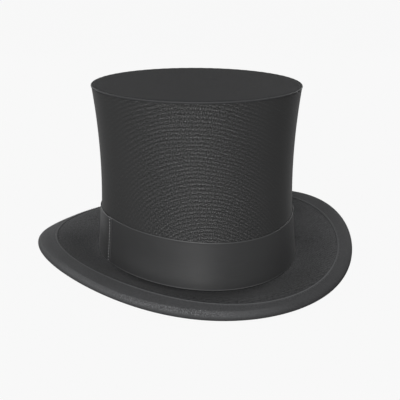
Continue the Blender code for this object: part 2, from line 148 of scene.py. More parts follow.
# ---- the hat's surfaces -----------------------------------------------------------------
def foot(angle):
    """Height of the crown's foot."""
    return FOOT_SADDLE * np.cos(2 * angle)


def half_axes(z):
    level = np.clip(z / CROWN_H, 0, 1)
    draw_in = WAIST * 4 * level * (1 - level)
    return BASE_X + (TOP_X - BASE_X) * level - draw_in, BASE_Y + (TOP_Y - BASE_Y) * level - draw_in


def on_crown(angle, z, inset):
    half_x, half_y = half_axes(z)
    return np.stack([(half_x - inset) * np.cos(angle), (half_y - inset) * np.sin(angle),
                     z + 0 * angle], -1)


def brim_edge(angle):
    shrink = 1 - EDGE_SQUARE * (1 - np.cos(4 * angle)) / 2
    z = EDGE_Z0 + EDGE_Z2 * np.cos(2 * angle) + EDGE_Z4 * np.cos(4 * angle)
    return np.stack([EDGE_X * shrink * np.cos(angle), EDGE_Y * shrink * np.sin(angle), z], -1)


class Brim:
    """The brim's middle surface at an array of angles.

    Each section is two Hermite curves over the distance out from the crown: from the foot to the
    binding's inner edge, and on to the brim's edge.
    """

    def __init__(self, angle):
        foot_z = foot(angle)
        edge = brim_edge(angle)
        self.inner = on_crown(angle, foot_z, 0.0)[:, :2]
        reach_out = edge[:, :2] - self.inner
        self.length = np.hypot(reach_out[:, 0], reach_out[:, 1])
        self.direction = reach_out / self.length[:, None]
        self.bind_width = BIND_W0 + BIND_W2 * np.cos(2 * angle)
        self.bind_at = self.length - self.bind_width
        bind_z = BIND_Z0 + BIND_Z2 * np.cos(2 * angle) - STACK - BIND_HALF - 0.7
        self.heights = (foot_z - STACK, bind_z, edge[:, 2])
        rise = (self.heights[1] - self.heights[0]) / self.bind_at
        end_rise = (self.heights[2] - self.heights[1]) / self.bind_width
        self.slopes = (0.30 * rise, 0.5 * (rise + end_rise), 1.35 * end_rise - 0.15)

    def height_slope(self, out):
        first = out <= self.bind_at
        span = np.where(first, self.bind_at, self.bind_width)
        s = np.where(first, out, out - self.bind_at) / span
        z_a, z_b = (np.where(first, self.heights[i], self.heights[i + 1]) for i in (0, 1))
        slope_a, slope_b = (np.where(first, self.slopes[i], self.slopes[i + 1]) for i in (0, 1))
        z = ((2 * s ** 3 - 3 * s ** 2 + 1) * z_a + (s ** 3 - 2 * s ** 2 + s) * span * slope_a
             + (-2 * s ** 3 + 3 * s ** 2) * z_b + (s ** 3 - s ** 2) * span * slope_b)
        slope = ((6 * s ** 2 - 6 * s) * z_a / span + (3 * s ** 2 - 4 * s + 1) * slope_a
                 + (6 * s - 6 * s ** 2) * z_b / span + (3 * s ** 2 - 2 * s) * slope_b)
        inside = out <= 0                   # carried on straight under the crown
        straight = self.heights[0] + self.slopes[0] * out
        return np.where(inside, straight, z), np.where(inside, self.slopes[0], slope)

    def at(self, out, lift):
        """Points at a distance out, lifted square to the surface."""
        z, slope = self.height_slope(out)
        steep = np.hypot(1, slope)
        return self.place(out - slope / steep * lift, z + lift / steep)

    def place(self, out, z):
        return np.stack([self.inner[:, 0] + self.direction[:, 0] * out,
                         self.inner[:, 1] + self.direction[:, 1] * out, z], -1)


BRIM = Brim(ROUND)


# ---- meshes -------------------------------------------------------------------------------
def unit(vectors):
    return vectors / np.linalg.norm(vectors, axis=-1, keepdims=True)


def set_attribute(mesh, name, values):
    attribute = mesh.attributes.new(name, 'FLOAT', 'POINT')
    attribute.data.foreach_set("value", np.asarray(values, np.float32).ravel())


def edit(mesh, merge=None):
    """Turn all faces outwards, after merging points nearer than the given distance."""
    bm = bmesh.new()
    bm.from_mesh(mesh)
    if merge:
        bmesh.ops.remove_doubles(bm, verts=bm.verts, dist=merge)
    bmesh.ops.recalc_face_normals(bm, faces=bm.faces)
    bm.to_mesh(mesh)
    bm.free()
    return mesh


def make_mesh(name, points, quads, caps=(), run=None):
    """Mesh from points in hat millimetres, quads and end caps, with its faces outwards."""
    points = np.array(points, float)
    points[:, 2] += FOOT_Z
    points *= MM
    a, b, c, d = (points[quads[:, i]] for i in range(4))
    volume = (np.einsum('ij,ij->i', a, np.cross(b, c))
              + np.einsum('ij,ij->i', a, np.cross(c, d))).sum()
    if volume < 0:
        quads = quads[:, ::-1]
        caps = [cap[::-1] for cap in caps]
    mesh = bpy.data.meshes.new(name)
    mesh.vertices.add(len(points))
    mesh.vertices.foreach_set("co", points.astype(np.float32).ravel())
    counts = [4] * len(quads) + [len(cap) for cap in caps]
    corners = np.concatenate([quads.ravel()] + [np.array(cap, np.int64) for cap in caps])
    mesh.loops.add(len(corners))
    mesh.loops.foreach_set("vertex_index", corners.astype(np.int32))
    mesh.polygons.add(len(counts))
    starts = np.concatenate([[0], np.cumsum(counts)[:-1]])
    mesh.polygons.foreach_set("loop_start", starts.astype(np.int32))
    mesh.update(calc_edges=True)
    if run is not None:
        set_attribute(mesh, "run", run)
    return mesh


def add(name, mesh, material, smooth=35):
    """Object with smooth shading, and sharp edges above an angle in degrees (0 for none)."""
    obj = bpy.data.objects.new(name, mesh)
    bpy.context.scene.collection.objects.link(obj)
    mesh.materials.append(material)
    mesh.shade_smooth()
    if smooth:
        mesh.set_sharp_from_angle(angle=math.radians(smooth))
    return obj


def skin(count, around, closed=False):
    """Quads and end caps over a number of sections with the same number of points around."""
    i, j = np.meshgrid(np.arange(count if closed else count - 1), np.arange(around),
                       indexing='ij')
    next_i, next_j = (i + 1) % count, (j + 1) % around
    quads = np.stack([i * around + j, next_i * around + j,
                      next_i * around + next_j, i * around + next_j], -1).reshape(-1, 4)
    if closed:
        return quads, []
    last = list(range((count - 1) * around, count * around))
    return quads, [list(range(around)), last[::-1]]


def sweep(name, sections, material, closed=True, smooth=35, run=None):
    """Body from an array (sections, points, xyz), closed round the hat or capped at its ends.

    run is the distance along the section at each of its points.
    """
    count, around = sections.shape[:2]
    quads, caps = skin(count, around, closed)
    if run is not None:
        run = np.tile(np.asarray(run, float), count)
    mesh = make_mesh(name, sections.reshape(-1, 3), quads, caps, run)
    if not closed:
        edit(mesh)
    return add(name, mesh, material, smooth)


def cord_sections(centre, radius, side, up, sides):
    angle = ring_angles(sides)
    radius = np.broadcast_to(radius, len(centre))
    return centre[:, None] + radius[:, None, None] * (
        np.cos(angle)[None, :, None] * side[:, None] + np.sin(angle)[None, :, None] * up[:, None])


def ring_cord(name, centre, radius, material, sides):
    """Round cord or wire through a closed loop of points."""
    along = unit(np.roll(centre, -1, 0) - np.roll(centre, 1, 0))
    out = centre * [1, 1, 0]
    out = unit(out - along * np.einsum('ij,ij->i', out, along)[:, None])
    up = np.cross(out, along)
    up *= np.sign(up[:, 2:3])
    sections = cord_sections(centre, radius, out, up, sides)
    return sweep(name, sections, material, smooth=0,
                 run=ring_angles(sides) * float(np.mean(radius)))


def cord(path, radius, sides):
    """Points, quads and caps of a round cord along an open path."""
    path = np.asarray(path, float)
    along = unit(np.gradient(path, axis=0))
    reference = np.array([0.0, 0.0, 1.0] if abs(along[0, 2]) < 0.9 else [1.0, 0.0, 0.0])
    side = [unit(np.cross(along[0], reference))]
    for direction in along[1:]:
        side.append(unit(side[-1] - direction * (side[-1] @ direction)))
    side = np.array(side)
    sections = cord_sections(path, radius, side, np.cross(along, side), sides)
    return sections.reshape(-1, 3), *skin(len(path), sides)


def cords(name, paths, radius, material, sides):
    """Many short threads joined in one piece."""
    points, quads, caps, base = [], [], [], 0
    for path in paths:
        path_points, path_quads, path_caps = cord(path, radius, sides)
        points.append(path_points)
        quads.append(path_quads + base)
        caps += [[i + base for i in cap] for cap in path_caps]
        base += len(path_points)
    mesh = make_mesh(name, np.concatenate(points), np.concatenate(quads), caps)
    return add(name, edit(mesh), material, 50)


def strip_section(face_points, thick):
    """Outline of a flat strip with rounded ends: (fraction of its length, offset) pairs.

    The ends overhang the fractions 0 and 1 by millimetres.
    """
    half = thick / 2
    s = np.linspace(0, 1, face_points)
    turn = np.linspace(math.pi / 2, -math.pi / 2, 5)[1:-1]
    end = np.stack([1 + half * np.cos(turn), half * np.sin(turn)], -1)
    turn = np.linspace(-math.pi / 2, -1.5 * math.pi, 5)[1:-1]
    start = np.stack([half * np.cos(turn), half * np.sin(turn)], -1)
    top = np.stack([s, np.full(face_points, half)], -1)
    bottom = np.stack([s[::-1], np.full(face_points, -half)], -1)
    return np.concatenate([top, end, bottom, start])


def wall(name, middle, thick, low, high, material, rows,
         angle=ROUND, closed=True, shape=None):
    """Upright strip that follows the crown; shape(angle, fraction) moves it inwards."""
    sections, run = [], []
    for s, offset in strip_section(rows, thick):
        fraction = min(1, max(0, s))
        z = low + (high - low) * fraction + (s - fraction)
        inset = middle - offset + (shape(angle, fraction) if shape else 0.0)
        sections.append(on_crown(angle, z, inset))
        run.append(s * (high - float(np.mean(low))))
    return sweep(name, np.stack(sections, 1), material, closed, 40, run)


def disc(name, inset, low, high, material, rings, shape=None, angle=ROUND):
    """Oval disc with a rounded edge; shape(radius, angle) adds to the height of both faces."""
    half_x, half_y = TOP_X - inset, TOP_Y - inset
    half = (high - low) / 2
    edge = min(0.3, half)
    radii = np.concatenate([np.linspace(0.012, 0.93, rings), np.linspace(0.94, 1.0, 8)])
    outline = [(r, 1) for r in radii]
    outline += [(1.0 + edge * math.cos(g) / half_x, math.sin(g))
                for g in np.linspace(math.pi / 2, -math.pi / 2, 7)[1:-1]]
    outline += [(r, -1) for r in radii[::-1]]
    sections = []
    for r, side in outline:
        rise = shape(min(r, 1.0), angle) if shape else 0.0 * angle
        z = (low + high) / 2 + side * half + rise
        sections.append(np.stack([half_x * r * np.cos(angle), half_y * r * np.sin(angle), z], -1))
    sections = np.stack(sections, 1)
    count, across = sections.shape[:2]
    i, j = np.meshgrid(np.arange(count), np.arange(across - 1), indexing='ij')
    next_i = (i + 1) % count
    quads = np.stack([i * across + j, i * across + j + 1,
                      next_i * across + j + 1, next_i * across + j], -1).reshape(-1, 4)
    caps = [[i * across for i in range(count)],
            [i * across + across - 1 for i in range(count)][::-1]]
    return add(name, edit(make_mesh(name, sections.reshape(-1, 3), quads, caps)), material)


# ---- shader arithmetic ------------------------------------------------------------------
class Field:
    """Shader value; each arithmetic operation on it adds one Math node."""

    def __init__(self, shader, socket):
        self.shader = shader
        self.socket = socket

    def __add__(self, other):
        return self.shader.math('ADD', self, other)

    def __radd__(self, other):
        return self.shader.math('ADD', other, self)

    def __sub__(self, other):
        return self.shader.math('SUBTRACT', self, other)

    def __rsub__(self, other):
        return self.shader.math('SUBTRACT', other, self)

    def __mul__(self, other):
        return self.shader.math('MULTIPLY', self, other)

    def __rmul__(self, other):
        return self.shader.math('MULTIPLY', other, self)

    def __truediv__(self, other):
        return self.shader.math('DIVIDE', self, other)

    def __pow__(self, other):
        return self.shader.math('POWER', self, other)

    def __abs__(self):
        return self.shader.math('ABSOLUTE', self)

    def cosine(self):
        return self.shader.math('COSINE', self)

    def at_least(self, other):
        return self.shader.math('MAXIMUM', self, other)

    def ramp(self, low, high, at_low=0.0, at_high=1.0, **settings):
        """Straight ramp between two values, level beyond them."""
        values = dict(enumerate((self, low, high, at_low, at_high)))
        return self.shader.node("ShaderNodeMapRange", values, **settings)


class Shader:
    """Principled material under construction; places are object coordinates in millimetres."""

    def __init__(self, name):
        self.material = bpy.data.materials.new(name)
        self.material.use_nodes = True
        self.tree = self.material.node_tree
        self.surface = self.tree.nodes["Principled BSDF"]

    def feed(self, socket, value):
        if isinstance(value, Field):
            self.tree.links.new(value.socket, socket)
        else:
            socket.default_value = value

    def node(self, kind, inputs=None, output=0, **settings):
        node = self.tree.nodes.new(kind)
        for key, value in settings.items():
            setattr(node, key, value)
        for key, value in (inputs or {}).items():
            self.feed(node.inputs[key], value)
        return Field(self, node.outputs[output])

    def math(self, operation, first, second=0.0):
        values = dict(enumerate((first, second, 0.0)))
        return self.node("ShaderNodeMath", values, operation=operation)

    def scaled(self, vector, factor):
        return self.node("ShaderNodeVectorMath", {0: vector, "Scale": factor}, operation='SCALE')

    def vector(self, x, y, z):
        return self.node("ShaderNodeCombineXYZ", {0: x, 1: y, 2: z})

    @cached_property
    def place(self):
        return self.scaled(self.node("ShaderNodeTexCoord", output="Object"), 1000.0)

    @cached_property
    def axes(self):
        split = self.node("ShaderNodeSeparateXYZ", {0: self.place}).socket.node
        return tuple(Field(self, socket) for socket in split.outputs)

    def angle(self):
        x, y, _ = self.axes
        return self.math('ARCTAN2', y, x)

    def bearing(self, shift=0.0):
        """Angle from the side that faces the camera, turned by degrees; it grows rightwards."""
        return self.angle() - (FACING + math.radians(shift))

    def attribute(self, name):
        return self.node("ShaderNodeAttribute", output="Fac", attribute_name=name)

    def noise(self, where, scale, detail, roughness=0.5):
        values = {"Vector": where, "Scale": scale, "Detail": detail, "Roughness": roughness}
        return self.node("ShaderNodeTexNoise", values, "Fac")

    def mix(self, factor, first, second):
        return self.node("ShaderNodeMix", {0: factor, 6: first, 7: second}, 2,
                         data_type='RGBA', blend_type='MIX')

    def finish(self, height, **inputs):
        """Set the surface inputs (spaces as underscores) and a bump with its height in mm."""
        for name, value in inputs.items():
            self.feed(self.surface.inputs[name.replace("_", " ")], value)
        bump = self.node("ShaderNodeBump", {"Distance": MM, "Height": height})
        self.feed(self.surface.inputs["Normal"], bump)
        return self.material


def sine(value):
    if isinstance(value, Field):
        return value.shader.math('SINE', value)
    return np.sin(value)


def floor_of(value):
    if isinstance(value, Field):
        return value.shader.math('FLOOR', value)
    return np.floor(value)


def smoothstep(value, low, high):
    if isinstance(value, Field):
        return value.ramp(low, high, interpolation_type='SMOOTHSTEP')
    s = np.clip((value - low) / (high - low), 0, 1)
    return s * s * (3 - 2 * s)


def watered_ribs(angle, height):
    """Ribs of the crown cloth, for arrays and for shader values alike.

    Returns the rib count going up, the strength of the watered field, and the angle from the
    middle of the nearest field. Ribs hang in arcs on both sides of each field's middle, and the
    middles lean a little as they go down.
    """
    half = math.pi / FIELDS
    level = (height - 100.0) * 0.02
    lean = -0.017 + level * -0.079
    turned = (angle - FACING - lean + half) / (2 * half)
    offset = (turned - floor_of(turned)) * (2 * half) - half
    depth = 58.8 + level * -22.4 + (level * level) * 5.0
    across = sine(offset)
    across2 = across * across
    hang = across2 * (depth - across2 * 7.3)
    wobble = (0.35 * sine(angle * 6.0 + height * 0.11)
              + 0.22 * sine(angle * 15.0 - height * 0.07))
    strength = 1.0 - smoothstep(abs(offset), *FIELD_FADE)
    return (height + hang + wobble) / RIB_PITCH, strength, offset


# ---- materials: each "tone" is a factor on the base colour ---------------------------------
def crown_cloth_material():
    """Ribbed cloth with a watered wave: broken ribs, fine cross threads, and painted glints and
    sparkle.
    """
    shader = Shader("crown_cloth")
    x, y, z = shader.axes
    height = z - FOOT_Z
    # angle of the ellipse parameter, so that it agrees with the mesh
    angle = shader.math('ARCTAN2', y / (BASE_Y - WAIST), x / (BASE_X - WAIST))
    phase, strength, offset = watered_ribs(angle, height)
    rib = sine(phase * TWO_PI)
    crest = rib.at_least(0.0)
    # noises stretched along the ribs break each one into short bright and dark dashes
    along = angle * 96.0
    dash = shader.noise(shader.vector(along * 0.60, phase * 2.0, 0.0), 1.0, 3.0, 0.65)
    speck = shader.noise(shader.vector(along * 1.30, phase * 3.6, 3.0), 1.0, 0.0)
    fine = sine(height * (TWO_PI / 0.62))
    cross = sine(angle * 1040.0)
    broad = shader.noise(shader.place, 0.02, 2.0)
    near = 1.0 - smoothstep(abs(offset), 0.08, 0.75) * 0.90     # near a field's middle
    ribbed = rib * 0.23 + (dash - 0.5) * 1.05
    # painted sparkle: the speckle is the cloth's own, but grows far stronger near each field's
    # middle, one of which faces the camera; bright specks on the rib crests there are painted
    # glints
    grain = (speck - 0.5) * (near * 8.4)
    painted_glint = speck.ramp(0.62, 0.76) * (crest * near)
    tone = (1.0 + ribbed * (0.08 + strength * 0.92) + fine * 0.025 + cross * 0.025
            + (broad - 0.5) * 0.10 + grain * (0.65 + crest * 0.65) + painted_glint * 0.9)
    return shader.finish(
        height=(rib * strength * 0.03 + fine * 0.012 + cross * 0.008
                + dash * strength * 0.12 + speck * near * 0.10),
        Base_Color=shader.scaled(CROWN_TONE, tone.at_least(0.3)),
        Roughness=0.60 - painted_glint * 0.2,
        Specular_IOR_Level=0.30, Sheen_Weight=0.08, Sheen_Roughness=0.35)


def flat_cloth_material(name, base, rib_pitch, contrast, specular=0.2, painted_light=None):
    """Ribbed cloth on a flat piece: ribs along x, cross threads, slub streaks and lint."""
    shader = Shader(name)
    x, y, _ = shader.axes
    bend = (shader.noise(shader.place, 0.025, 2.0) - 0.5) * 3.0
    rib = sine((y + bend) * (TWO_PI / rib_pitch))
    cross = sine(x * (TWO_PI / 0.55))
    dash = shader.noise(shader.vector(x * 0.35, y * 1.6, 0.0), 1.0, 3.0, 0.6)
    speck = shader.noise(shader.place, 1.0, 1.0)
    broad = shader.noise(shader.place, 0.018, 2.0)
    tone = (1.0 + rib * (0.07 * contrast) + cross * (0.03 * contrast)
            + (dash - 0.5) * (0.5 * contrast) + (broad - 0.5) * 0.2
            + (speck - 0.5) * (2.0 * contrast))
    # painted light: an optional factor that makes places paler or darker by how they lie to the
    # camera
    if painted_light:
        tone = tone * painted_light(shader)
    return shader.finish(
        height=rib * 0.035 + cross * 0.012 + dash * 0.08,
        Base_Color=shader.scaled(base, tone.at_least(0.3)),
        Roughness=0.75, Specular_IOR_Level=specular, Sheen_Weight=0.04, Sheen_Roughness=0.5)


def ribbon_weave(shader, run):
    """Cross ribs and streaks that every ribbon has."""
    angle = shader.angle()
    cross = sine(angle * 1500.0)
    streak = shader.noise(shader.vector(run * 1.1, angle * 6.0, 0.0), 1.0, 3.0, 0.6)
    return cross, streak


def ribbon_material(name, base, roughness, thread_pitch, sheen=0.05, specular=0.45,
                    selvedges=(), painted_light=None):
    """Close-woven ribbon: fine ribs, soft satin highlights, painted highlights along the
    selvedges.
    """
    shader = Shader(name)
    run = shader.attribute("run")
    line = sine(run * (TWO_PI / thread_pitch))
    cross, streak = ribbon_weave(shader, run)
    broad = shader.noise(shader.place, 0.03, 2.0)
    fluff = shader.noise(shader.place, 2.2, 1.0)
    tone = (1.0 + (streak - 0.5) * 0.22 + line * 0.03 + (broad - 0.5) * 0.16
            + fluff.ramp(0.70, 0.85) * 0.15)
    # painted highlight: a pale line along each selvedge
    for selvedge in selvedges:
        tone += abs(run - selvedge).ramp(0.425, 0.85, 1.0, 0.0) * 0.55
    # painted light: an optional factor that makes places paler or darker by how they lie to the
    # camera
    if painted_light:
        tone = tone * painted_light(shader)
    return shader.finish(
        height=line * 0.010 + cross * 0.006 + streak * 0.03,
        Base_Color=shader.scaled(base, tone),
        Roughness=roughness + (streak - 0.5) * 0.12,
        Specular_IOR_Level=specular, Sheen_Weight=sheen, Sheen_Roughness=0.35)


def brim_painted_light(shader):
    """Painted light: paler at the camera's left and right than between, and most near the crown.
    """
    x, y, _ = shader.axes
    bearing = shader.bearing(-8.0)
    side = sine(bearing)
    out = shader.math('SQRT', (x / BASE_X) ** 2.0 + (y / BASE_Y) ** 2.0)
    side2 = side * side
    near_crown = out.ramp(1.0, 1.36, 0.20, 0.0) * side2
    left = smoothstep(side * -1.0, 0.55, 0.95) * 0.09
    # painted shade: a darker patch at the right of the side that faces the camera
    dip = smoothstep(side, 0.45, 0.72) * (1.0 - smoothstep(side, 0.84, 0.97))
    dip = dip * smoothstep(bearing.cosine(), 0.1, 0.5) * -0.24
    return 0.85 + dip + left + (side2 * 0.36 + near_crown)


def band_painted_light(shader):
    """Painted highlights: paler high on the lapped side, low beside it, on the hem and at the
    lap's turned end.
    """
    z = shader.axes[2]
    bearing = shader.bearing()
    side = sine(bearing)
    high = (smoothstep(side * -1.0, 0.84, 0.97)
            * smoothstep(z, 20.0 + FOOT_Z, 36.0 + FOOT_Z))
    low = (smoothstep(side * -1.0, -0.30, 0.0)
           * smoothstep(z * -1.0, -32.0 - FOOT_Z, -12.0 - FOOT_Z)
           * (1.0 - smoothstep(side * -1.0, 0.50, 0.85)))
    hem = (shader.attribute("run").ramp(0.5, 1.1, 1.0, 0.0)
           * smoothstep(bearing.cosine(), 0.4, 0.9))
    # the lap's end as a true angle from -x
    turned = (math.atan(math.tan(SEAM + LAP - math.pi) * BASE_Y / BASE_X)
              - math.radians(0.40))
    from_end = abs(shader.angle() + math.pi - turned)
    end = from_end.ramp(math.radians(0.34), math.radians(0.55), 1.0, 0.0) * 0.40
    return 1.0 + end + (hem * 0.8 + (high * 1.10 + low * 0.17))


def pipe_painted_light(shader):
    """Painted light: paler towards the camera."""
    return 0.74 + smoothstep(shader.bearing().cosine(), -0.1, 0.8) * 0.42


def binding_material():
    """Wide ribbon over the brim's edge: lint, a painted highlight along its inner selvedge, and a
    painted highlight and sparkle on the ridge facing the camera.
    """
    shader = Shader("binding_ribbon")
    run, edge = shader.attribute("run"), shader.attribute("edge")
    line = sine(run * (TWO_PI / 0.95))
    fine = sine(run * (TWO_PI / 0.45))
    cross, streak = ribbon_weave(shader, run)
    broad = shader.noise(shader.place, 0.03, 2.0)
    fluff = shader.noise(shader.place, 2.5, 1.0)
    front = smoothstep(shader.bearing(-12.0).cosine(), 0.70, 0.94)
    side = sine(shader.bearing())
    middle = smoothstep(shader.bearing(-8.0).cosine(), 0.93, 0.985)
    # the ridge lies further along the section on the left
    edge = edge - smoothstep(side * -1.0, 0.05, 0.50) * 1.7
    tone = (1.0 + (streak - 0.5) * 0.16 + line * 0.035 + fine * 0.02
            + (broad - 0.5) * 0.12)
    # painted light and shade: paler on the left, a little darker on the right
    left = smoothstep(side * -1.0, 0.5, 0.95)
    right = smoothstep(side, 0.2, 0.7) * -0.03 - smoothstep(side, 0.85, 1.0) * 0.06
    tone = tone * (1.0 + (left * 0.42 + right))
    # painted highlight on the ridge where the flat turns down, on the side facing the camera
    ridge = smoothstep(edge, -4.0, -2.7) * (1.0 - smoothstep(edge, -0.4, 3.6))
    tone += ridge * front * 0.52
    # lint everywhere, with painted sparkle much stronger on the ridge in the middle of the side
    # facing the camera
    painted_sparkle = smoothstep(edge, -5.0, -3.0) * (1.0 - smoothstep(edge, -0.5, 2.0)) * middle
    tone += (fluff - 0.5) * (1.9 + painted_sparkle * 6.0)
    tone += fluff.ramp(0.62, 0.74) * (painted_sparkle * 4.0)
    # painted highlight along the selvedge at the inner edge, strongest towards the camera
    selvedge = 0.40 + smoothstep(shader.bearing(10.0).cosine(), 0.3, 0.9) * 0.42
    tone += run.ramp(0.9, 1.5, 1.0, 0.0) * selvedge
    return shader.finish(
        height=(line * 0.020 + fine * 0.010 + cross * 0.006
                + fluff * (painted_sparkle * 0.08) + streak * 0.03),
        Base_Color=shader.scaled(BIND_TONE, tone.at_least(0.3)),
        Roughness=0.72, Specular_IOR_Level=0.14)


def satin_material(name, base, roughness):
    """Satin with upright warp streaks and a fine slanting weave."""
    shader = Shader(name)
    x, y, z = shader.axes
    warp = shader.noise(shader.vector(shader.angle() * 60.0, z * 0.05, x * 0.01),
                        1.0, 3.0, 0.6)
    fine = sine((x + (y + z)) * (TWO_PI / 0.5))
    broad = shader.noise(shader.place, 0.03, 3.0, 0.55)
    tone = 1.0 + (warp - 0.5) * 0.18 + (broad - 0.5) * 0.14
    return shader.finish(
        height=warp * 0.05 + fine * 0.006,
        Base_Color=shader.scaled(base, tone),
        Roughness=roughness, Specular_IOR_Level=0.5, Sheen_Weight=0.2, Sheen_Roughness=0.3)


def leather_material(name, base):
    """Leather with a cell grain, pores and broad stains."""
    shader = Shader(name)
    cell = shader.node("ShaderNodeTexVoronoi", {"Vector": shader.place, "Scale": 0.85},
                       "Distance", feature='DISTANCE_TO_EDGE')
    pore = shader.noise(shader.place, 1.8, 3.0, 0.6)
    broad = shader.noise(shader.place, 0.035, 3.0, 0.6)
    crease = cell.ramp(0.0, 0.16)           # 0 in the creases between cells
    tone = 0.72 + crease * 0.2 + broad * 0.35 + (pore - 0.5) * 0.15
    return shader.finish(
        height=crease * 0.06 + pore * 0.05,
        Base_Color=shader.scaled(base, tone),
        Roughness=0.6 - crease * 0.14,
        Specular_IOR_Level=0.45, Coat_Weight=0.08, Coat_Roughness=0.4)


def steel_material(name, base, roughness):
    """Drawn spring steel: long scratches, blued tint and a little brown spotting."""
    shader = Shader(name)
    x, y, z = shader.axes
    scratch = shader.noise(shader.vector(x * 2.6, y * 2.6, z * 0.12), 1.0, 4.0, 0.7)
    ring = shader.noise(shader.vector(shader.angle() * 10.0, z * 3.2, 0.0), 1.0, 3.0, 0.6)
    spots = shader.noise(shader.place, 0.35, 4.0, 0.7)
    blue = shader.noise(shader.place, 0.06, 2.0)
    blued = tuple(tone * factor for tone, factor in zip(base, BLUING))
    colour = shader.mix(blue.ramp(0.35, 0.65), (*base, 1), (*blued, 1))
    colour = shader.mix(spots.ramp(0.60, 0.74, 0.0, 0.75), colour, (*RUST, 1))
    return shader.finish(
        height=scratch * 0.012 + (ring * 0.008 + spots * 0.01),
        Base_Color=colour,
        Metallic=spots.ramp(0.60, 0.74, 0.95, 0.45),
        Roughness=roughness + (scratch - 0.45) * 0.35,
        Anisotropic=0.35)


def board_material(name, base):
    """Stiffened open-weave cloth: a coarse grid of threads under size."""
    shader = Shader(name)
    x, y, z = shader.axes
    per_thread = TWO_PI / 1.1
    weave = sine((x + z * 0.3) * per_thread).at_least(sine((y + z * 0.7) * per_thread))
    stain = shader.noise(shader.place, 0.05, 3.0, 0.6)
    tone = 0.7 + (weave * 0.12 + stain * 0.5)
    return shader.finish(
        height=weave * 0.06 + stain * 0.1,
        Base_Color=shader.scaled(base, tone), Roughness=0.85, Specular_IOR_Level=0.3)


def thread_material(name, base):
    shader = Shader(name)
    twist = shader.noise(shader.place, 4.0, 2.0)
    return shader.finish(
        height=twist * 0.05,
        Base_Color=shader.scaled(base, 0.7 + twist * 0.6),
        Roughness=0.5, Sheen_Weight=0.3, Specular_IOR_Level=0.5)


CROWN_CLOTH = crown_cloth_material()
TIP_CLOTH = flat_cloth_material("tip_cloth_weave", TIP_TONE, rib_pitch=0.9, contrast=0.9,
                                specular=0.11)
UPPER_CLOTH = flat_cloth_material("brim_cloth_weave", BRIM_TONE, RIB_PITCH, contrast=1.4,
                                  painted_light=brim_painted_light)
UNDER_CLOTH = flat_cloth_material("under_cloth_weave", BRIM_TONE, RIB_PITCH, contrast=1.4)
BAND_RIBBON = ribbon_material("band_ribbon", BAND_TONE, roughness=0.40, thread_pitch=0.40,
                              selvedges=(0.0, BAND_WIDTH), painted_light=band_painted_light)
PIPING = ribbon_material("piping_ribbon", PIPE_TONE, roughness=0.6, thread_pitch=0.5,
                         sheen=0.0, specular=0.25, painted_light=pipe_painted_light)
BINDING = binding_material()
SATIN = satin_material("lining_satin", (0.50, 0.46, 0.39), roughness=0.34)
TIP_SATIN = satin_material("tip_lining_satin", (0.52, 0.48, 0.41), roughness=0.3)
LEATHER = leather_material("sweatband_leather", (0.17, 0.085, 0.045))
STEEL = steel_material("spring_steel", (0.46, 0.47, 0.49), roughness=0.3)
DARK_STEEL = steel_material("dark_steel", (0.24, 0.25, 0.27), roughness=0.36)
BOARD = board_material("stiff_board", (0.20, 0.165, 0.12))
PALE_THREAD = thread_material("seam_thread", (0.86, 0.86, 0.87))
DARK_THREAD = thread_material("dark_thread", (0.06, 0.06, 0.062))
TAN_THREAD = thread_material("tan_thread", (0.42, 0.33, 0.22))
BOW_RIBBON = ribbon_material("bow_ribbon", (0.05, 0.05, 0.052), roughness=0.38,
                             thread_pitch=0.4)


def keep(obj, body, slot, *nodes):
    """Let a piece ride with a moving body, and stand in for CAD nodes."""
    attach(obj, body)
    if nodes:
        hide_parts(*nodes)


# ---- stitches -------------------------------------------------------------------------------
STITCH = np.linspace(-1, 1, 7)              # places along one stitch
STITCH_R = 0.20 * np.sqrt(np.clip(1 - STITCH ** 4, 0.06, 1))    # pinched at its ends


def stitch_row(name, point_at, count, length, lift, thickness, material, slot,
               start=0.0, span=TWO_PI):
    """Short threads round the hat; length is a share of their spacing.

    point_at(angle, lift) gives points above the surface.
    """
    height = lift * (1 - np.abs(STITCH) ** 3 * 1.6)
    half = span / count * length / 2
    paths = []
    for i in range(count):
        middle = start + span * i / count
        paths.append(point_at(middle + half * STITCH, height))
    keep(cords(name, paths, STITCH_R * thickness, material, 6), "base", slot)


# ---- brim -----------------------------------------------------------------------------------
def brim_sheet(name, middle, thick, material, short, rows=44, ripple=0.0):
    """Sheet of the brim with rounded edges, ending short of the brim's edge."""
    under_crown = 2.0
    span = BRIM.length - short + under_crown
    outline = strip_section(rows, thick)
    wave = ripple * np.sin(3 * ROUND + 1.3) * np.sin(5 * ROUND)
    sections = []
    for s, offset in outline:
        fraction = min(max(s, 0.0), 1.0)
        out = -under_crown + span * fraction + (s - fraction)
        lift = wave * math.sin(math.pi * fraction)
        sections.append(BRIM.at(out, middle + offset + lift))
    return sweep(name, np.stack(sections, 1), material, run=outline[:, 0] * 55.0)


def binding_path(flat_rows, arc_rows):
    """Middle line of the binding: out over the flat, round the rolled edge and back below."""
    near, roll = STACK + 0.40, ROLL_R + 0.12
    tilt = np.arctan(BRIM.height_slope(BRIM.length)[1])
    flats = {1: [], -1: []}
    for side, rows in flats.items():
        for k in range(flat_rows):
            fraction = k / (flat_rows - 1)
            swell = smoothstep(fraction, 0.30, 1.0)
            rows.append(BRIM.at(BRIM.bind_at + BRIM.bind_width * fraction,
                                side * (near + (roll - near) * swell)))
    rolled = []
    for k in range(1, arc_rows):
        turn = math.pi / 2 - math.pi * k / arc_rows + tilt
        rolled.append(BRIM.place(BRIM.length + roll * np.cos(turn),
                                 BRIM.heights[2] + roll * np.sin(turn)))
    return np.stack(flats[1] + rolled + flats[-1][::-1], 1)


END_POINTS = 5                              # on each rounded end of the binding's section


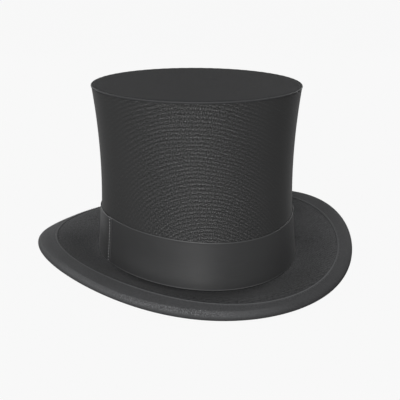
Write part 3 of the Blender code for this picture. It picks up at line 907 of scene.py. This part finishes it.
def thicken(path, half):
    """Section outlines round a middle path, with a half thickness per point."""
    along = unit(np.gradient(path, axis=1))
    normal = unit(np.cross(along, np.roll(path, -1, 0) - np.roll(path, 1, 0)))
    offset = normal * half[None, :, None]

    def round_end(index, sign):
        return np.stack([path[:, index] + half[index] * (math.cos(g) * normal[:, index]
                                                         + math.sin(g) * sign * along[:, index])
                         for g in np.linspace(0, math.pi, END_POINTS + 2)[1:-1]], 1)

    return np.concatenate([path + offset, round_end(-1, 1), (path - offset)[:, ::-1],
                           round_end(0, -1)[:, ::-1]], 1)


def round_outline(values):
    """Values along the middle path, carried to every point of the outline."""
    return np.concatenate([values, np.repeat(values[..., -1:], END_POINTS, -1),
                           values[..., ::-1], np.repeat(values[..., :1], END_POINTS, -1)], -1)


def build_binding():
    """The attribute "run" starts at the upper inner edge, "edge" where the roll begins."""
    flat_rows = 34
    path = binding_path(flat_rows, arc_rows=30)
    steps = np.linalg.norm(np.diff(path, axis=1), axis=2)
    half = np.full(path.shape[1], BIND_HALF)
    half[:3] = 0.36, 0.42, 0.35             # selvedge bead at the upper edge
    half[-2:] = 0.38, 0.36
    run = np.concatenate([[0], np.cumsum(steps.mean(0))])
    binding = sweep("brim_binding_ribbon", thicken(path, half), BINDING, True, 40,
                    round_outline(run))
    edge = np.concatenate([np.zeros((len(steps), 1)), np.cumsum(steps, 1)], 1)
    edge -= edge[:, flat_rows - 1:flat_rows].copy()
    set_attribute(binding.data, "edge", round_outline(edge))
    keep(binding, "base", "ribbon", "brim_binding")


def binding_point(side):
    """Point just outside the binding's face, near its inner edge."""
    def point(angle, lift):
        brim = Brim(angle)
        return brim.at(brim.bind_at + 1.3, side * (STACK + BIND_HALF + 0.70 + lift - 0.12))
    return point


cloth_middle = STACK - BRIM_CLOTH / 2
keep(brim_sheet("brim_board_core", 0.0, 1.5, BOARD, short=2.0, rows=30),
     "base", "stiff_board", "brim_board")
keep(brim_sheet("brim_upper_cloth", cloth_middle, BRIM_CLOTH, UPPER_CLOTH, 2.2, ripple=0.12),
     "base", "ribbed_cloth", "brim_top_cloth")
keep(brim_sheet("brim_lower_cloth", -cloth_middle, BRIM_CLOTH, UNDER_CLOTH, 2.2, ripple=0.12),
     "base", "under_cloth", "brim_under_cloth")
keep(ring_cord("brim_wire", brim_edge(ROUND), 1.1, DARK_STEEL, 12),
     "base", "dark_steel", "brim_edge_wire")
build_binding()
for label, side in (("upper", 1), ("lower", -1)):
    stitch_row(f"binding_stitches_{label}", binding_point(side), count=300, length=0.55,
               lift=0.10, thickness=0.62, material=DARK_THREAD, slot="ribbon")


# ---- crown cloth: foot, main part, and the collar on the upper hoop ---------------------------
def crown_part(name, low, high, rows):
    """Cloth between two heights, ribbed outside and plain inside."""
    outer = []
    for fraction in np.linspace(0, 1, rows):
        z = low + (high - low) * fraction
        phase, strength, _ = watered_ribs(CLOTH_ROUND, z)
        bulge = 0.09 * strength * np.sin(TWO_PI * phase) - 0.06
        outer.append(on_crown(CLOTH_ROUND, z, -bulge))
    inner = [on_crown(CLOTH_ROUND, low + (high - low) * fraction, 0.78)
             for fraction in np.linspace(1, 0, 24)]
    return sweep(name, np.stack(outer + inner, 1), CROWN_CLOTH, True, 40)


def flatten(obj):
    """Give the piece its own copy of its mesh; the share of height left between the hoops when
    folded is worked out and not used.
    """
    (SPLIT_HIGH - TRAVEL - SPLIT_LOW) / (SPLIT_HIGH - SPLIT_LOW)
    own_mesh(obj)


keep(crown_part("crown_cloth_foot", foot(CLOTH_ROUND) + 0.5, SPLIT_LOW,
                int(SPLIT_LOW / RIB_PITCH * ROWS_PER_RIB)), "base", "ribbed_cloth")
main_cloth = crown_part("crown_cloth_side", SPLIT_LOW, SPLIT_HIGH,
                        int((SPLIT_HIGH - SPLIT_LOW) / RIB_PITCH * ROWS_PER_RIB))
keep(main_cloth, "base", "ribbed_cloth", "crown_side_cloth")
keep(crown_part("crown_cloth_collar", SPLIT_HIGH, SIDE_TOP, 30), "crown_top", "ribbed_cloth")
flatten(main_cloth)


# ---- tip ----------------------------------------------------------------------------------
def tip_shape(r, angle):
    """Cloth over the board: the faintest hollow, and an edge that falls softly."""
    return (-0.18 * (1 - r ** 2) + 0.03 * np.sin(9 * angle) * r ** 3
            - 0.35 * np.clip((r - 0.965) / 0.035, 0, 1) ** 2)


keep(disc("tip_cloth_top", TIP_IN + 0.1, CROWN_H - 0.9, CROWN_H - 0.02, TIP_CLOTH,
          rings=40, shape=tip_shape), "crown_top", "ribbed_cloth", "tip_cloth")
keep(disc("tip_board_disc", TIP_IN, CROWN_H - 2.9, CROWN_H - 1.45, BOARD, rings=12),
     "crown_top", "stiff_board", "tip_board")
piping = np.stack([(TOP_X - 0.70) * np.cos(PIPING_ROUND), (TOP_Y - 0.70) * np.sin(PIPING_ROUND),
                   np.full(len(PIPING_ROUND), CROWN_H - 1.03)], -1)
keep(ring_cord("tip_piping", piping, 0.9 + 0.05 * np.sin(60 * PIPING_ROUND), PIPING, 14),
     "crown_top", "ribbon", "tip_edge_piping")

# ---- ribbon band with its lapped end --------------------------------------------------------
LAP_END = SEAM + LAP + TWO_PI


def build_band():
    ramp_end = SEAM + TWO_PI
    ramp_start = ramp_end - math.radians(14)        # where the ribbon starts to rise
    angle = np.concatenate([np.linspace(SEAM, ramp_start, len(ROUND), endpoint=False),
                            np.linspace(ramp_start, LAP_END, 110)])
    lift = BAND_STEP * smoothstep(angle, ramp_start, ramp_end)
    press = 0.20 * smoothstep(angle, LAP_END - math.radians(1.6), LAP_END)  # sewn down
    rows = np.concatenate([np.linspace(0, 0.05, 6), np.linspace(0.05, 0.95, 34)[1:-1],
                           np.linspace(0.95, 1, 6)])
    # outline as (fraction of the height, side from 1 outside to -1 inside)
    quarter = math.pi / 2
    outline = ([(f, 1) for f in rows]
               + [(1.0 + 0.008 * math.cos(g), math.sin(g))
                  for g in np.linspace(quarter, -quarter, 5)[1:-1]]
               + [(f, -1) for f in rows[::-1]]
               + [(-0.008 * math.cos(g), math.sin(g))
                  for g in np.linspace(-quarter, quarter, 5)[1:-1]])
    sections = []
    for f, side in outline:
        fraction = min(1, max(0, f))
        bead = 0.0                                  # thicker selvedges on the outside
        if side > 0:
            bead = 0.12 * (math.exp(-((fraction - 0.988) / 0.012) ** 2)
                           + math.exp(-((fraction - 0.012) / 0.012) ** 2))
        drape = (0.10 * np.sin(5 * angle + 0.7) * math.sin(math.pi * fraction)
                 + 0.06 * np.sin(11 * angle) * math.sin(TWO_PI * fraction))
        out = BAND_OUT + lift + side * (BAND_HALF + bead) + drape * 0.5 - press
        sections.append(on_crown(angle, foot(angle) + BAND_FOOT + BAND_WIDTH * f, -out))
    run = [BAND_WIDTH * f for f, _ in outline]
    keep(sweep("hat_band_ribbon", np.stack(sections, 1), BAND_RIBBON, False, 40, run),
         "base", "ribbon", "hat_band")


def build_band_stitches():
    """Upright row of pale stitches just in from the lapped end."""
    angle = LAP_END - TWO_PI - math.radians(1.9)
    margin, count, half_length = 1.6, 15, 0.34
    out = BAND_OUT + BAND_STEP + BAND_HALF + 0.12 * (1 - np.abs(STITCH) ** 3 * 1.8)
    paths = []
    for i in range(count):
        middle = BAND_FOOT + margin + (BAND_WIDTH - 2 * margin) * i / (count - 1)
        z = middle + foot(angle) + half_length * STITCH
        paths.append(on_crown(angle, z, -out))
    keep(cords("band_end_stitches", paths, STITCH_R * 1.2, PALE_THREAD, 8), "base", "ribbon")


build_band()
build_band_stitches()


# ---- stiffening band, hoops, lining ---------------------------------------------------------
def pleats(angle, fraction):
    """Soft vertical folds of the lining, deepest half way up."""
    fall = math.sin(math.pi * fraction) ** 0.6
    return (0.55 + 0.40 * np.sin(72 * angle) + 0.22 * np.sin(31 * angle + 1.0)) * fall


def gathers(r, angle):
    """Faint radial gathers that die out at the rim and towards the middle."""
    return (-0.112 * (np.sin(64 * angle) + 0.6 * np.sin(37 * angle + 2))
            * np.clip((r - 0.55) / 0.4, 0, 1) ** 1.5 * (1 - np.clip((r - 0.97) / 0.03, 0, 1)))


keep(wall("crown_stiff_band", 1.7, 1.1, foot(ROUND) + 0.5, 36.0, BOARD, rows=10),
     "base", "stiff_board", "crown_base_band")
keep(wall("lower_steel_hoop", HOOP_INSET, HOOP_THICK, *LOWER_HOOP_Z, STEEL, rows=8),
     "base", "spring_steel", "lower_hoop")
keep(wall("upper_steel_hoop", HOOP_INSET, HOOP_THICK, *UPPER_HOOP_Z, STEEL, rows=8),
     "crown_top", "spring_steel", "upper_hoop")
lining = wall("side_lining_satin", 1.35, 0.45, LOWER_HOOP_Z[1] + 1.0, UPPER_HOOP_Z[0] - 1.0,
              SATIN, rows=26, angle=LINING_ROUND, shape=pleats)
keep(lining, "base", "lining_satin", "side_lining")
flatten(lining)
keep(disc("tip_lining_satin", TIP_IN + 0.3, CROWN_H - 3.68, CROWN_H - 3.28, TIP_SATIN,
          rings=34, shape=gathers, angle=LINING_ROUND),
     "crown_top", "lining_satin", "tip_lining")


# ---- sweatband ------------------------------------------------------------------------------
def sweat_shape(angle, fraction):
    """The leather bows inwards off the side, with faint wrinkles."""
    bow = math.sin(math.pi * fraction)
    return 0.25 * bow + 0.10 * np.sin(23 * angle + 4 * fraction) * bow ** 2


def sweat_point(height):
    """Point on the sweatband's inner face at a height, lifted inwards."""
    fraction = height / SWEAT_TOP

    def point(angle, lift):
        z = foot(angle) * (1 - fraction) + height
        inset = SWEAT_IN + SWEAT_THICK / 2 + sweat_shape(angle, fraction) + lift - 0.12
        return on_crown(angle, z, inset)
    return point


def gap_point(sideways, z, lift):
    """Points over the sweatband's gap, lifted towards the middle of the hat."""
    inset = SWEAT_IN + SWEAT_THICK / 2 + 0.25 * np.sin(math.pi * z / SWEAT_TOP) + lift
    return on_crown(SWEAT_GAP_AT + sideways / half_axes(z)[0], z, inset)


half_gap = 1.0 / BASE_Y
sweat_round = np.linspace(SWEAT_GAP_AT + half_gap, SWEAT_GAP_AT + TWO_PI - half_gap, len(ROUND))
keep(wall("sweatband_leather", SWEAT_IN, SWEAT_THICK, foot(sweat_round) - 1.5, SWEAT_TOP,
          LEATHER, rows=26, angle=sweat_round, closed=False, shape=sweat_shape),
     "base", "sweat_leather", "sweatband")
reed = np.stack([(BASE_X - SWEAT_IN - 0.1) * np.cos(ROUND),
                 (BASE_Y - SWEAT_IN - 0.1) * np.sin(ROUND), foot(ROUND) - 2.75], -1)
keep(ring_cord("sweatband_reed_cord", reed, 0.8, PIPING, 12),
     "base", "ribbon", "sweatband_reed")
# label, height, count, length, lift, thickness
for label, height, *sizes in (("lower", 2.6, 150, 0.62, 0.12, 0.9),
                              ("upper", 32.6, 190, 0.6, 0.10, 0.7)):
    stitch_row(f"sweatband_stitches_{label}", sweat_point(height), *sizes, TAN_THREAD,
               "sweat_leather", start=SWEAT_GAP_AT + 0.03, span=TWO_PI - 0.06)


def build_lacing():
    """Five crosses over the gap, one strand of each above the other."""
    pitch, half_width = 4.6, 3.0
    along = np.linspace(0, 1, 15)
    paths = []
    for i in range(5):
        for sign, above in ((-1, 0), (1, 0.25)):
            paths.append(gap_point(np.linspace(-half_width, half_width, 15) * sign,
                                   5.0 + i * pitch + pitch * along,
                                   0.35 + 0.45 * np.sin(math.pi * along) + above))
    keep(cords("sweatband_lacing", paths, 0.32, BOW_RIBBON, 8), "base", "ribbon")


def bow_part(name, centre, width):
    """Flat cupped ribbon along points (sideways, z, lift) over the gap."""
    along = unit(np.gradient(centre, axis=0))
    across = unit(np.stack([-along[:, 1], along[:, 0], 0 * along[:, 0]], -1))
    normal = np.cross(along, across)
    s, offset = strip_section(7, 0.3).T
    fraction = np.clip(s, 0, 1)
    shift = (fraction - 0.5) * width[:, None] + (s - fraction)
    cup = 0.25 * np.cos(math.pi * (fraction - 0.5) * 1.6)
    local = (centre[:, None] + across[:, None] * shift[..., None]
             + normal[:, None] * (offset + cup)[None, :, None])
    sections = gap_point(*np.moveaxis(local, -1, 0))
    keep(sweep(name, sections, BOW_RIBBON, False, 50, s * 4), "base", "ribbon")


def build_bow():
    knot_z = 29.0
    turn = TWO_PI * np.linspace(0, 1, 40)
    open_out = (1 - np.cos(turn)) / 2
    down = np.linspace(0, 1, 18)
    for label, sign in (("left", -1), ("right", 1)):
        loop = np.stack([sign * (1.0 + 4.6 * open_out * 1.6), knot_z + 2.0 * np.sin(turn),
                         1.3 + 0.8 * open_out], -1)
        bow_part(f"sweatband_bow_loop_{label}", loop, 2.4 - 0.8 * np.cos(turn))
        tail = np.stack([sign * (0.6 + 4.2 * down), 28.3 - 7.5 * down,
                         1.3 + 0.5 * np.sin(3 * down)], -1)
        bow_part(f"sweatband_bow_tail_{label}", tail, 2.0 + 1.2 * down)
    knot = gap_point(np.array([-1.5, -0.9, 0, 0.9, 1.5]),
                     knot_z + np.array([0, 0.1, 0.15, 0.1, 0]), 1.9)
    keep(cords("sweatband_bow_knot", [knot], np.array([0.5, 1.3, 1.55, 1.3, 0.5]),
               BOW_RIBBON, 14), "base", "ribbon")


build_lacing()
build_bow()

# ---- parts of a strut: x points out to the hoop, y along the pins, z up ------------------------
HOOP_CLEAR = 2.6                            # inset of the line that bracket depths run to
PIN_HALF = LAYER + ARM_T / 2 + 0.3          # pin's middle to the underside of its heads
PLATE_T, PLATE_W, PLATE_H, PLATE_CORNER = 0.8, 13.0, 7.0, 1.6
WIRE_R, COIL_R, COIL_PITCH, COIL_TURNS = 0.35, 2.5, 0.85, 2.5
COIL_START = PIN_HALF + WIRE_R + 0.1
COIL_END = COIL_START + COIL_PITCH * COIL_TURNS


def arc(x, z, radius, steps, start, span):
    return [(x + radius * math.cos(start + span * i / steps),
             z + radius * math.sin(start + span * i / steps)) for i in range(steps + 1)]


def hole(z):
    return arc(0, z, HOLE_R, 32, 0, TWO_PI)[:-1]


def plate_mesh(outlines, thick, bevel):
    """Flat plate with holes and softened edges; outlines in x and z, thickness along y."""
    curve = bpy.data.curves.new("plate", 'CURVE')
    curve.dimensions = '2D'
    curve.fill_mode = 'BOTH'
    curve.bevel_depth = bevel * MM
    curve.bevel_resolution = 2
    curve.extrude = (thick / 2 - bevel) * MM
    curve.offset = -bevel * MM
    for outline in outlines:
        spline = curve.splines.new('POLY')
        spline.points.add(len(outline) - 1)
        for point, (x, z) in zip(spline.points, outline):
            point.co = (x * MM, z * MM, 0, 1)
        spline.use_cyclic_u = True
    solid = bpy.data.objects.new("plate", curve)
    bpy.context.scene.collection.objects.link(solid)
    depsgraph = bpy.context.evaluated_depsgraph_get()
    mesh = bpy.data.meshes.new_from_object(solid.evaluated_get(depsgraph))
    bpy.data.objects.remove(solid, do_unlink=True)
    edit(mesh, merge=0.000004)
    mesh.transform(Matrix.Rotation(math.pi / 2, 4, 'X'))
    return mesh


def lathe_mesh(profile, steps=40):
    """Turned about y from (radius, y) pairs, first and last on the axis."""
    points, faces, rings = [], [], []
    for radius, y in profile:
        start = len(points)
        if radius < 1e-6:
            points.append((0, y * MM, 0))
        else:
            points += [(radius * math.cos(g) * MM, y * MM, radius * math.sin(g) * MM)
                       for g in (TWO_PI * i / steps for i in range(steps))]
        rings.append(list(range(start, len(points))))
    for a, b in zip(rings, rings[1:]):
        for i in range(steps):
            j = (i + 1) % steps
            if len(a) == 1:
                faces.append((a[0], b[i], b[j]))
            elif len(b) == 1:
                faces.append((a[i], b[0], a[j]))
            else:
                faces.append((a[i], b[i], b[j], a[j]))
    mesh = bpy.data.meshes.new("turned")
    mesh.from_pydata(points, [], faces)
    return edit(mesh)


def merge_meshes(meshes):
    bm = bmesh.new()
    for part in meshes:
        bm.from_mesh(part)
    mesh = bpy.data.meshes.new("merged")
    bm.to_mesh(mesh)
    bm.free()
    return mesh


def pin_mesh(low, high):
    """Pin with a domed head beyond each end of its shaft."""
    shaft, head, dome, rim = 1.25, 2.4, 0.8, 0.12
    turns = np.linspace(0.15, 1.45, 7)
    profile = [(0, high + dome)]
    profile += [(head * math.sin(g), high + rim + (dome - rim) * math.cos(g)) for g in turns]
    profile += [(head, high + 0.1), (head - 0.1, high), (shaft, high),
                (shaft, low), (head - 0.1, low), (head, low - 0.1)]
    profile += [(head * math.sin(g), low - rim - (dome - rim) * math.cos(g))
                for g in turns[::-1]]
    profile.append((0, low - dome))
    return lathe_mesh(profile)


def arm_mesh(layer):
    """Strut arm with an eye at each end and a slot half way."""
    neck = math.asin(ARM_W / 2 / EYE_R)
    eye_span = 2 * (math.pi - neck)
    outline = (arc(0, 0, EYE_R, 36, math.pi / 2 + neck, eye_span)
               + arc(0, ARM_L, EYE_R, 36, neck - math.pi / 2, eye_span))
    slot = (arc(0, ARM_L * 0.66, 0.75, 12, 0, math.pi)
            + arc(0, ARM_L * 0.34, 0.75, 12, math.pi, math.pi))
    mesh = plate_mesh([outline, hole(0), hole(ARM_L), slot], ARM_T, bevel=0.16)
    mesh.transform(Matrix.Translation((0, layer * MM, 0)))
    return mesh


def bracket_mesh(layer, plate_x, lift):
    """Lug with an eye, and a rounded plate against the hoop."""
    lug = plate_mesh([arc(0, 0, EYE_R, 24, math.pi / 2, math.pi)
                      + [(plate_x, -EYE_R), (plate_x, EYE_R)], hole(0)], ARM_T, bevel=0.14)
    lug.transform(Matrix.Translation((0, layer * MM, 0)))
    half_w, half_h = PLATE_W / 2 - PLATE_CORNER, PLATE_H / 2 - PLATE_CORNER
    outline = []
    for quarter, (right, up) in enumerate(((1, 1), (-1, 1), (-1, -1), (1, -1))):
        outline += arc(right * half_w, up * half_h, PLATE_CORNER, 8,
                       quarter * math.pi / 2, math.pi / 2)
    plate = plate_mesh([outline], PLATE_T, bevel=0.14)
    plate.transform(Matrix.Translation((plate_x * MM, 0, lift * MM))
                    @ Matrix.Rotation(math.pi / 2, 4, 'Z'))
    return merge_meshes([lug, plate])


def rivets_mesh(face_x, lift):
    """Two rivets through a bracket's plate."""
    head = 1.15
    profile = [(0, 0.75)]
    profile += [(head * math.sin(g), 0.1 + 0.65 * math.cos(g)) for g in np.linspace(0.2, 1.5, 6)]
    profile += [(head, 0.05), (0.6, 0.0), (0.6, -1.7), (0, -1.7)]
    parts = []
    for y in (-4.4, 4.4):
        rivet = lathe_mesh(profile, steps=28)
        rivet.transform(Matrix.Translation((face_x * MM, y * MM, lift * MM))
                        @ Matrix.Rotation(math.pi / 2, 4, 'Z'))
        parts.append(rivet)
    return merge_meshes(parts)


def wire_mesh(path):
    points, quads, caps = cord(path, WIRE_R, 10)
    mesh = bpy.data.meshes.new("wire")
    mesh.from_pydata((points * MM).tolist(), [], quads.tolist() + caps)
    return edit(mesh)


def coil_path():
    """Leg down beside the upper arm, then the coil round the knee pin."""
    per_turn = 28
    points = [(-COIL_R, COIL_START, z) for z in (13.2, 9.0, 5.0, 2.0)]
    for i in range(int(COIL_TURNS * per_turn) + 1):
        turn = math.pi + TWO_PI * i / per_turn
        points.append((COIL_R * math.cos(turn), COIL_START + COIL_PITCH * i / per_turn,
                       COIL_R * math.sin(turn)))
    return points


LEG_PATH = [(COIL_R, COIL_END, z) for z in (-0.6, -4.0, -8.0, -13.2)]


# ---- struts ---------------------------------------------------------------------------------
def hoop_axes(z):
    half_x, half_y = half_axes(z)
    return float(half_x) - HOOP_CLEAR, float(half_y) - HOOP_CLEAR


def hoop_distance(pivot, out, z):
    """Distance from a pivot outwards to the hoop's oval at a height."""
    half_x, half_y = hoop_axes(z)
    a = (out.x / half_x) ** 2 + (out.y / half_y) ** 2
    b = 2 * (pivot.x * out.x / half_x ** 2 + pivot.y * out.y / half_y ** 2)
    c = (pivot.x / half_x) ** 2 + (pivot.y / half_y) ** 2 - 1
    return (-b + math.sqrt(b * b - 4 * a * c)) / (2 * a)


def build_strut(number, degrees):
    angle = math.radians(degrees)
    half_x, half_y = hoop_axes(LOWER_PIVOT_Z)
    out = Vector((math.cos(angle) / half_x, math.sin(angle) / half_y, 0)).normalized()
    pivot = Vector((half_x * math.cos(angle), half_y * math.sin(angle), 0)) - out * PIVOT_IN

    def at_height(z):
        return (Matrix.Translation((pivot.x * MM, pivot.y * MM, (z + FOOT_Z) * MM))
                @ Matrix.Rotation(math.atan2(out.y, out.x), 4, 'Z'))

    def put(part, mesh, matrix, body, dark=True, node=None):
        name = f"strut_{part}_{number}"
        mesh.name = name
        mesh.transform(matrix)
        obj = add(name, mesh, DARK_STEEL if dark else STEEL)
        nodes = [f"{node}_{number}"] if node else []
        keep(obj, body, "dark_steel" if dark else "spring_steel", *nodes)

    low, knee, top = map(at_height, (LOWER_PIVOT_Z, LOWER_PIVOT_Z + ARM_L, UPPER_PIVOT_Z))
    lower, upper = f"strut_{number}_lower", f"strut_{number}_upper"
    put("arm_lower", arm_mesh(-LAYER), low, lower, dark=False, node="lower_arm")
    put("arm_upper", arm_mesh(LAYER), knee, upper, dark=False, node="upper_arm")
    for label, matrix, body, layer, hoop_z, pivot_z in (
            ("lower", low, "base", LAYER, LOWER_HOOP_Z, LOWER_PIVOT_Z),
            ("upper", top, "crown_top", -LAYER, UPPER_HOOP_Z, UPPER_PIVOT_Z)):
        middle = sum(hoop_z) / 2
        lift = middle - pivot_z
        plate_x = hoop_distance(pivot, out, middle) - 1.0 - PLATE_T / 2
        put(f"bracket_{label}", bracket_mesh(layer, plate_x, lift), matrix, body,
            dark=False, node=f"{label}_bracket")
        put(f"rivets_{label}", rivets_mesh(plate_x - PLATE_T / 2, lift), matrix, body)
    put("pin_lower", pin_mesh(-PIN_HALF, PIN_HALF), low, "base", node="lower_pin")
    put("pin_upper", pin_mesh(-PIN_HALF, PIN_HALF), top, "crown_top", node="upper_pin")
    put("pin_knee", pin_mesh(-PIN_HALF, COIL_END + 0.8), knee, lower, node="knee_pin")
    put("spring", wire_mesh(coil_path()), knee, upper, node="knee_spring")
    put("spring_leg", wire_mesh(LEG_PATH), knee, lower)


for number, degrees in enumerate((45.0, 135.0, 225.0, 315.0), 1):
    build_strut(number, degrees)

# ---- stage, light and camera ------------------------------------------------------------------
BACKDROP = (0.9430, 0.9430, 0.9430, 1)      # what the camera sees of floor and world
BOUNCE = 0.187                              # light from the floor
SKY = 0.13                                  # light from the world
CAMERA_SIDE = Matrix.Rotation(-CAM_TURN, 4, 'Z')


def seen_or_lit(tree, seen, lit):
    """Shader that shows one thing to the camera and lights the hat with another."""
    path = tree.nodes.new("ShaderNodeLightPath")
    mix = tree.nodes.new("ShaderNodeMixShader")
    tree.links.new(path.outputs["Is Camera Ray"], mix.inputs[0])
    tree.links.new(lit, mix.inputs[1])
    tree.links.new(seen, mix.inputs[2])
    return mix.outputs[0]


def floor_material():
    """Even backdrop with a trace of diffuse shadow."""
    material = bpy.data.materials.new("pale_floor")
    material.use_nodes = True
    tree = material.node_tree
    tree.nodes.clear()
    output = tree.nodes.new("ShaderNodeOutputMaterial")
    mix = tree.nodes.new("ShaderNodeMixShader")
    glow = tree.nodes.new("ShaderNodeEmission")
    diffuse = tree.nodes.new("ShaderNodeBsdfDiffuse")
    bounce = tree.nodes.new("ShaderNodeEmission")
    glow.inputs[0].default_value = BACKDROP
    diffuse.inputs[0].default_value = (0.8, 0.8, 0.8, 1)
    bounce.inputs[1].default_value = BOUNCE
    mix.inputs[0].default_value = 0.01
    tree.links.new(glow.outputs[0], mix.inputs[1])
    tree.links.new(diffuse.outputs[0], mix.inputs[2])
    tree.links.new(seen_or_lit(tree, mix.outputs[0], bounce.outputs[0]), output.inputs[0])
    return material


def build_floor():
    bpy.ops.mesh.primitive_plane_add(size=40, location=(0, 0, cad_box[0][2] - 0.0003))
    floor = bpy.context.object
    floor.name = "floor"
    floor.data.materials.append(floor_material())


def build_world():
    world = bpy.data.worlds.new("studio")
    bpy.context.scene.world = world
    world.use_nodes = True
    tree = world.node_tree
    sky = tree.nodes["Background"]
    sky.inputs[0].default_value = (0.98, 0.99, 1.0, 1)
    sky.inputs[1].default_value = SKY
    backdrop = tree.nodes.new("ShaderNodeBackground")
    backdrop.inputs[0].default_value = BACKDROP
    tree.links.new(seen_or_lit(tree, backdrop.outputs[0], sky.outputs[0]),
                   tree.nodes["World Output"].inputs[0])


# name, place in metres before the turn to the camera's side, size in metres, power in watts
SOFTBOXES = (
    ("key", (-0.12, -1.5, 0.75), (0.5, 0.8), 10.2),
    ("key_low", (-0.10, -1.7, 0.30), (0.5, 0.5), 4.2),
    ("side_left", (-0.9, -1.3, 0.7), (0.6, 0.9), 4.9),
    ("rim_left", (-1.0, 1.3, 0.7), (0.6, 1.2), 6.6),
    ("rim_right", (1.0, 1.3, 0.7), (0.6, 1.2), 7.8),
    ("top", (0.0, 0.0, 1.8), (1.2, 1.2), 6.3),
)
LIGHT_TARGET = Vector((0, 0, 0.08))


def build_light(name, place, size, power):
    light = bpy.data.lights.new(name, 'AREA')
    light.shape = 'RECTANGLE'
    light.size, light.size_y = size
    light.energy = power
    obj = bpy.data.objects.new(name, light)
    bpy.context.scene.collection.objects.link(obj)
    obj.location = CAMERA_SIDE @ Vector(place)
    aim = LIGHT_TARGET - CAMERA_SIDE @ Vector(place)
    obj.rotation_euler = aim.to_track_quat('-Z', 'Y').to_euler()


def build_camera():
    data = bpy.data.cameras.new("camera")
    data.sensor_width = 36.0
    data.lens = CAM_LENS
    data.clip_start = 0.01
    camera = bpy.data.objects.new("camera", data)
    bpy.context.scene.collection.objects.link(camera)
    x, y, z = CAM_AT
    place = CAMERA_SIDE @ Vector((x * MM, y * MM, (z + FOOT_Z) * MM))
    camera.matrix_world = (Matrix.Translation(place) @ CAMERA_SIDE
                           @ Matrix.Rotation(math.pi / 2 + CAM_PITCH, 4, 'X'))
    bpy.context.scene.camera = camera


build_floor()
build_world()
for softbox in SOFTBOXES:
    build_light(*softbox)
build_camera()
bpy.context.scene.view_settings.view_transform = 'Standard'
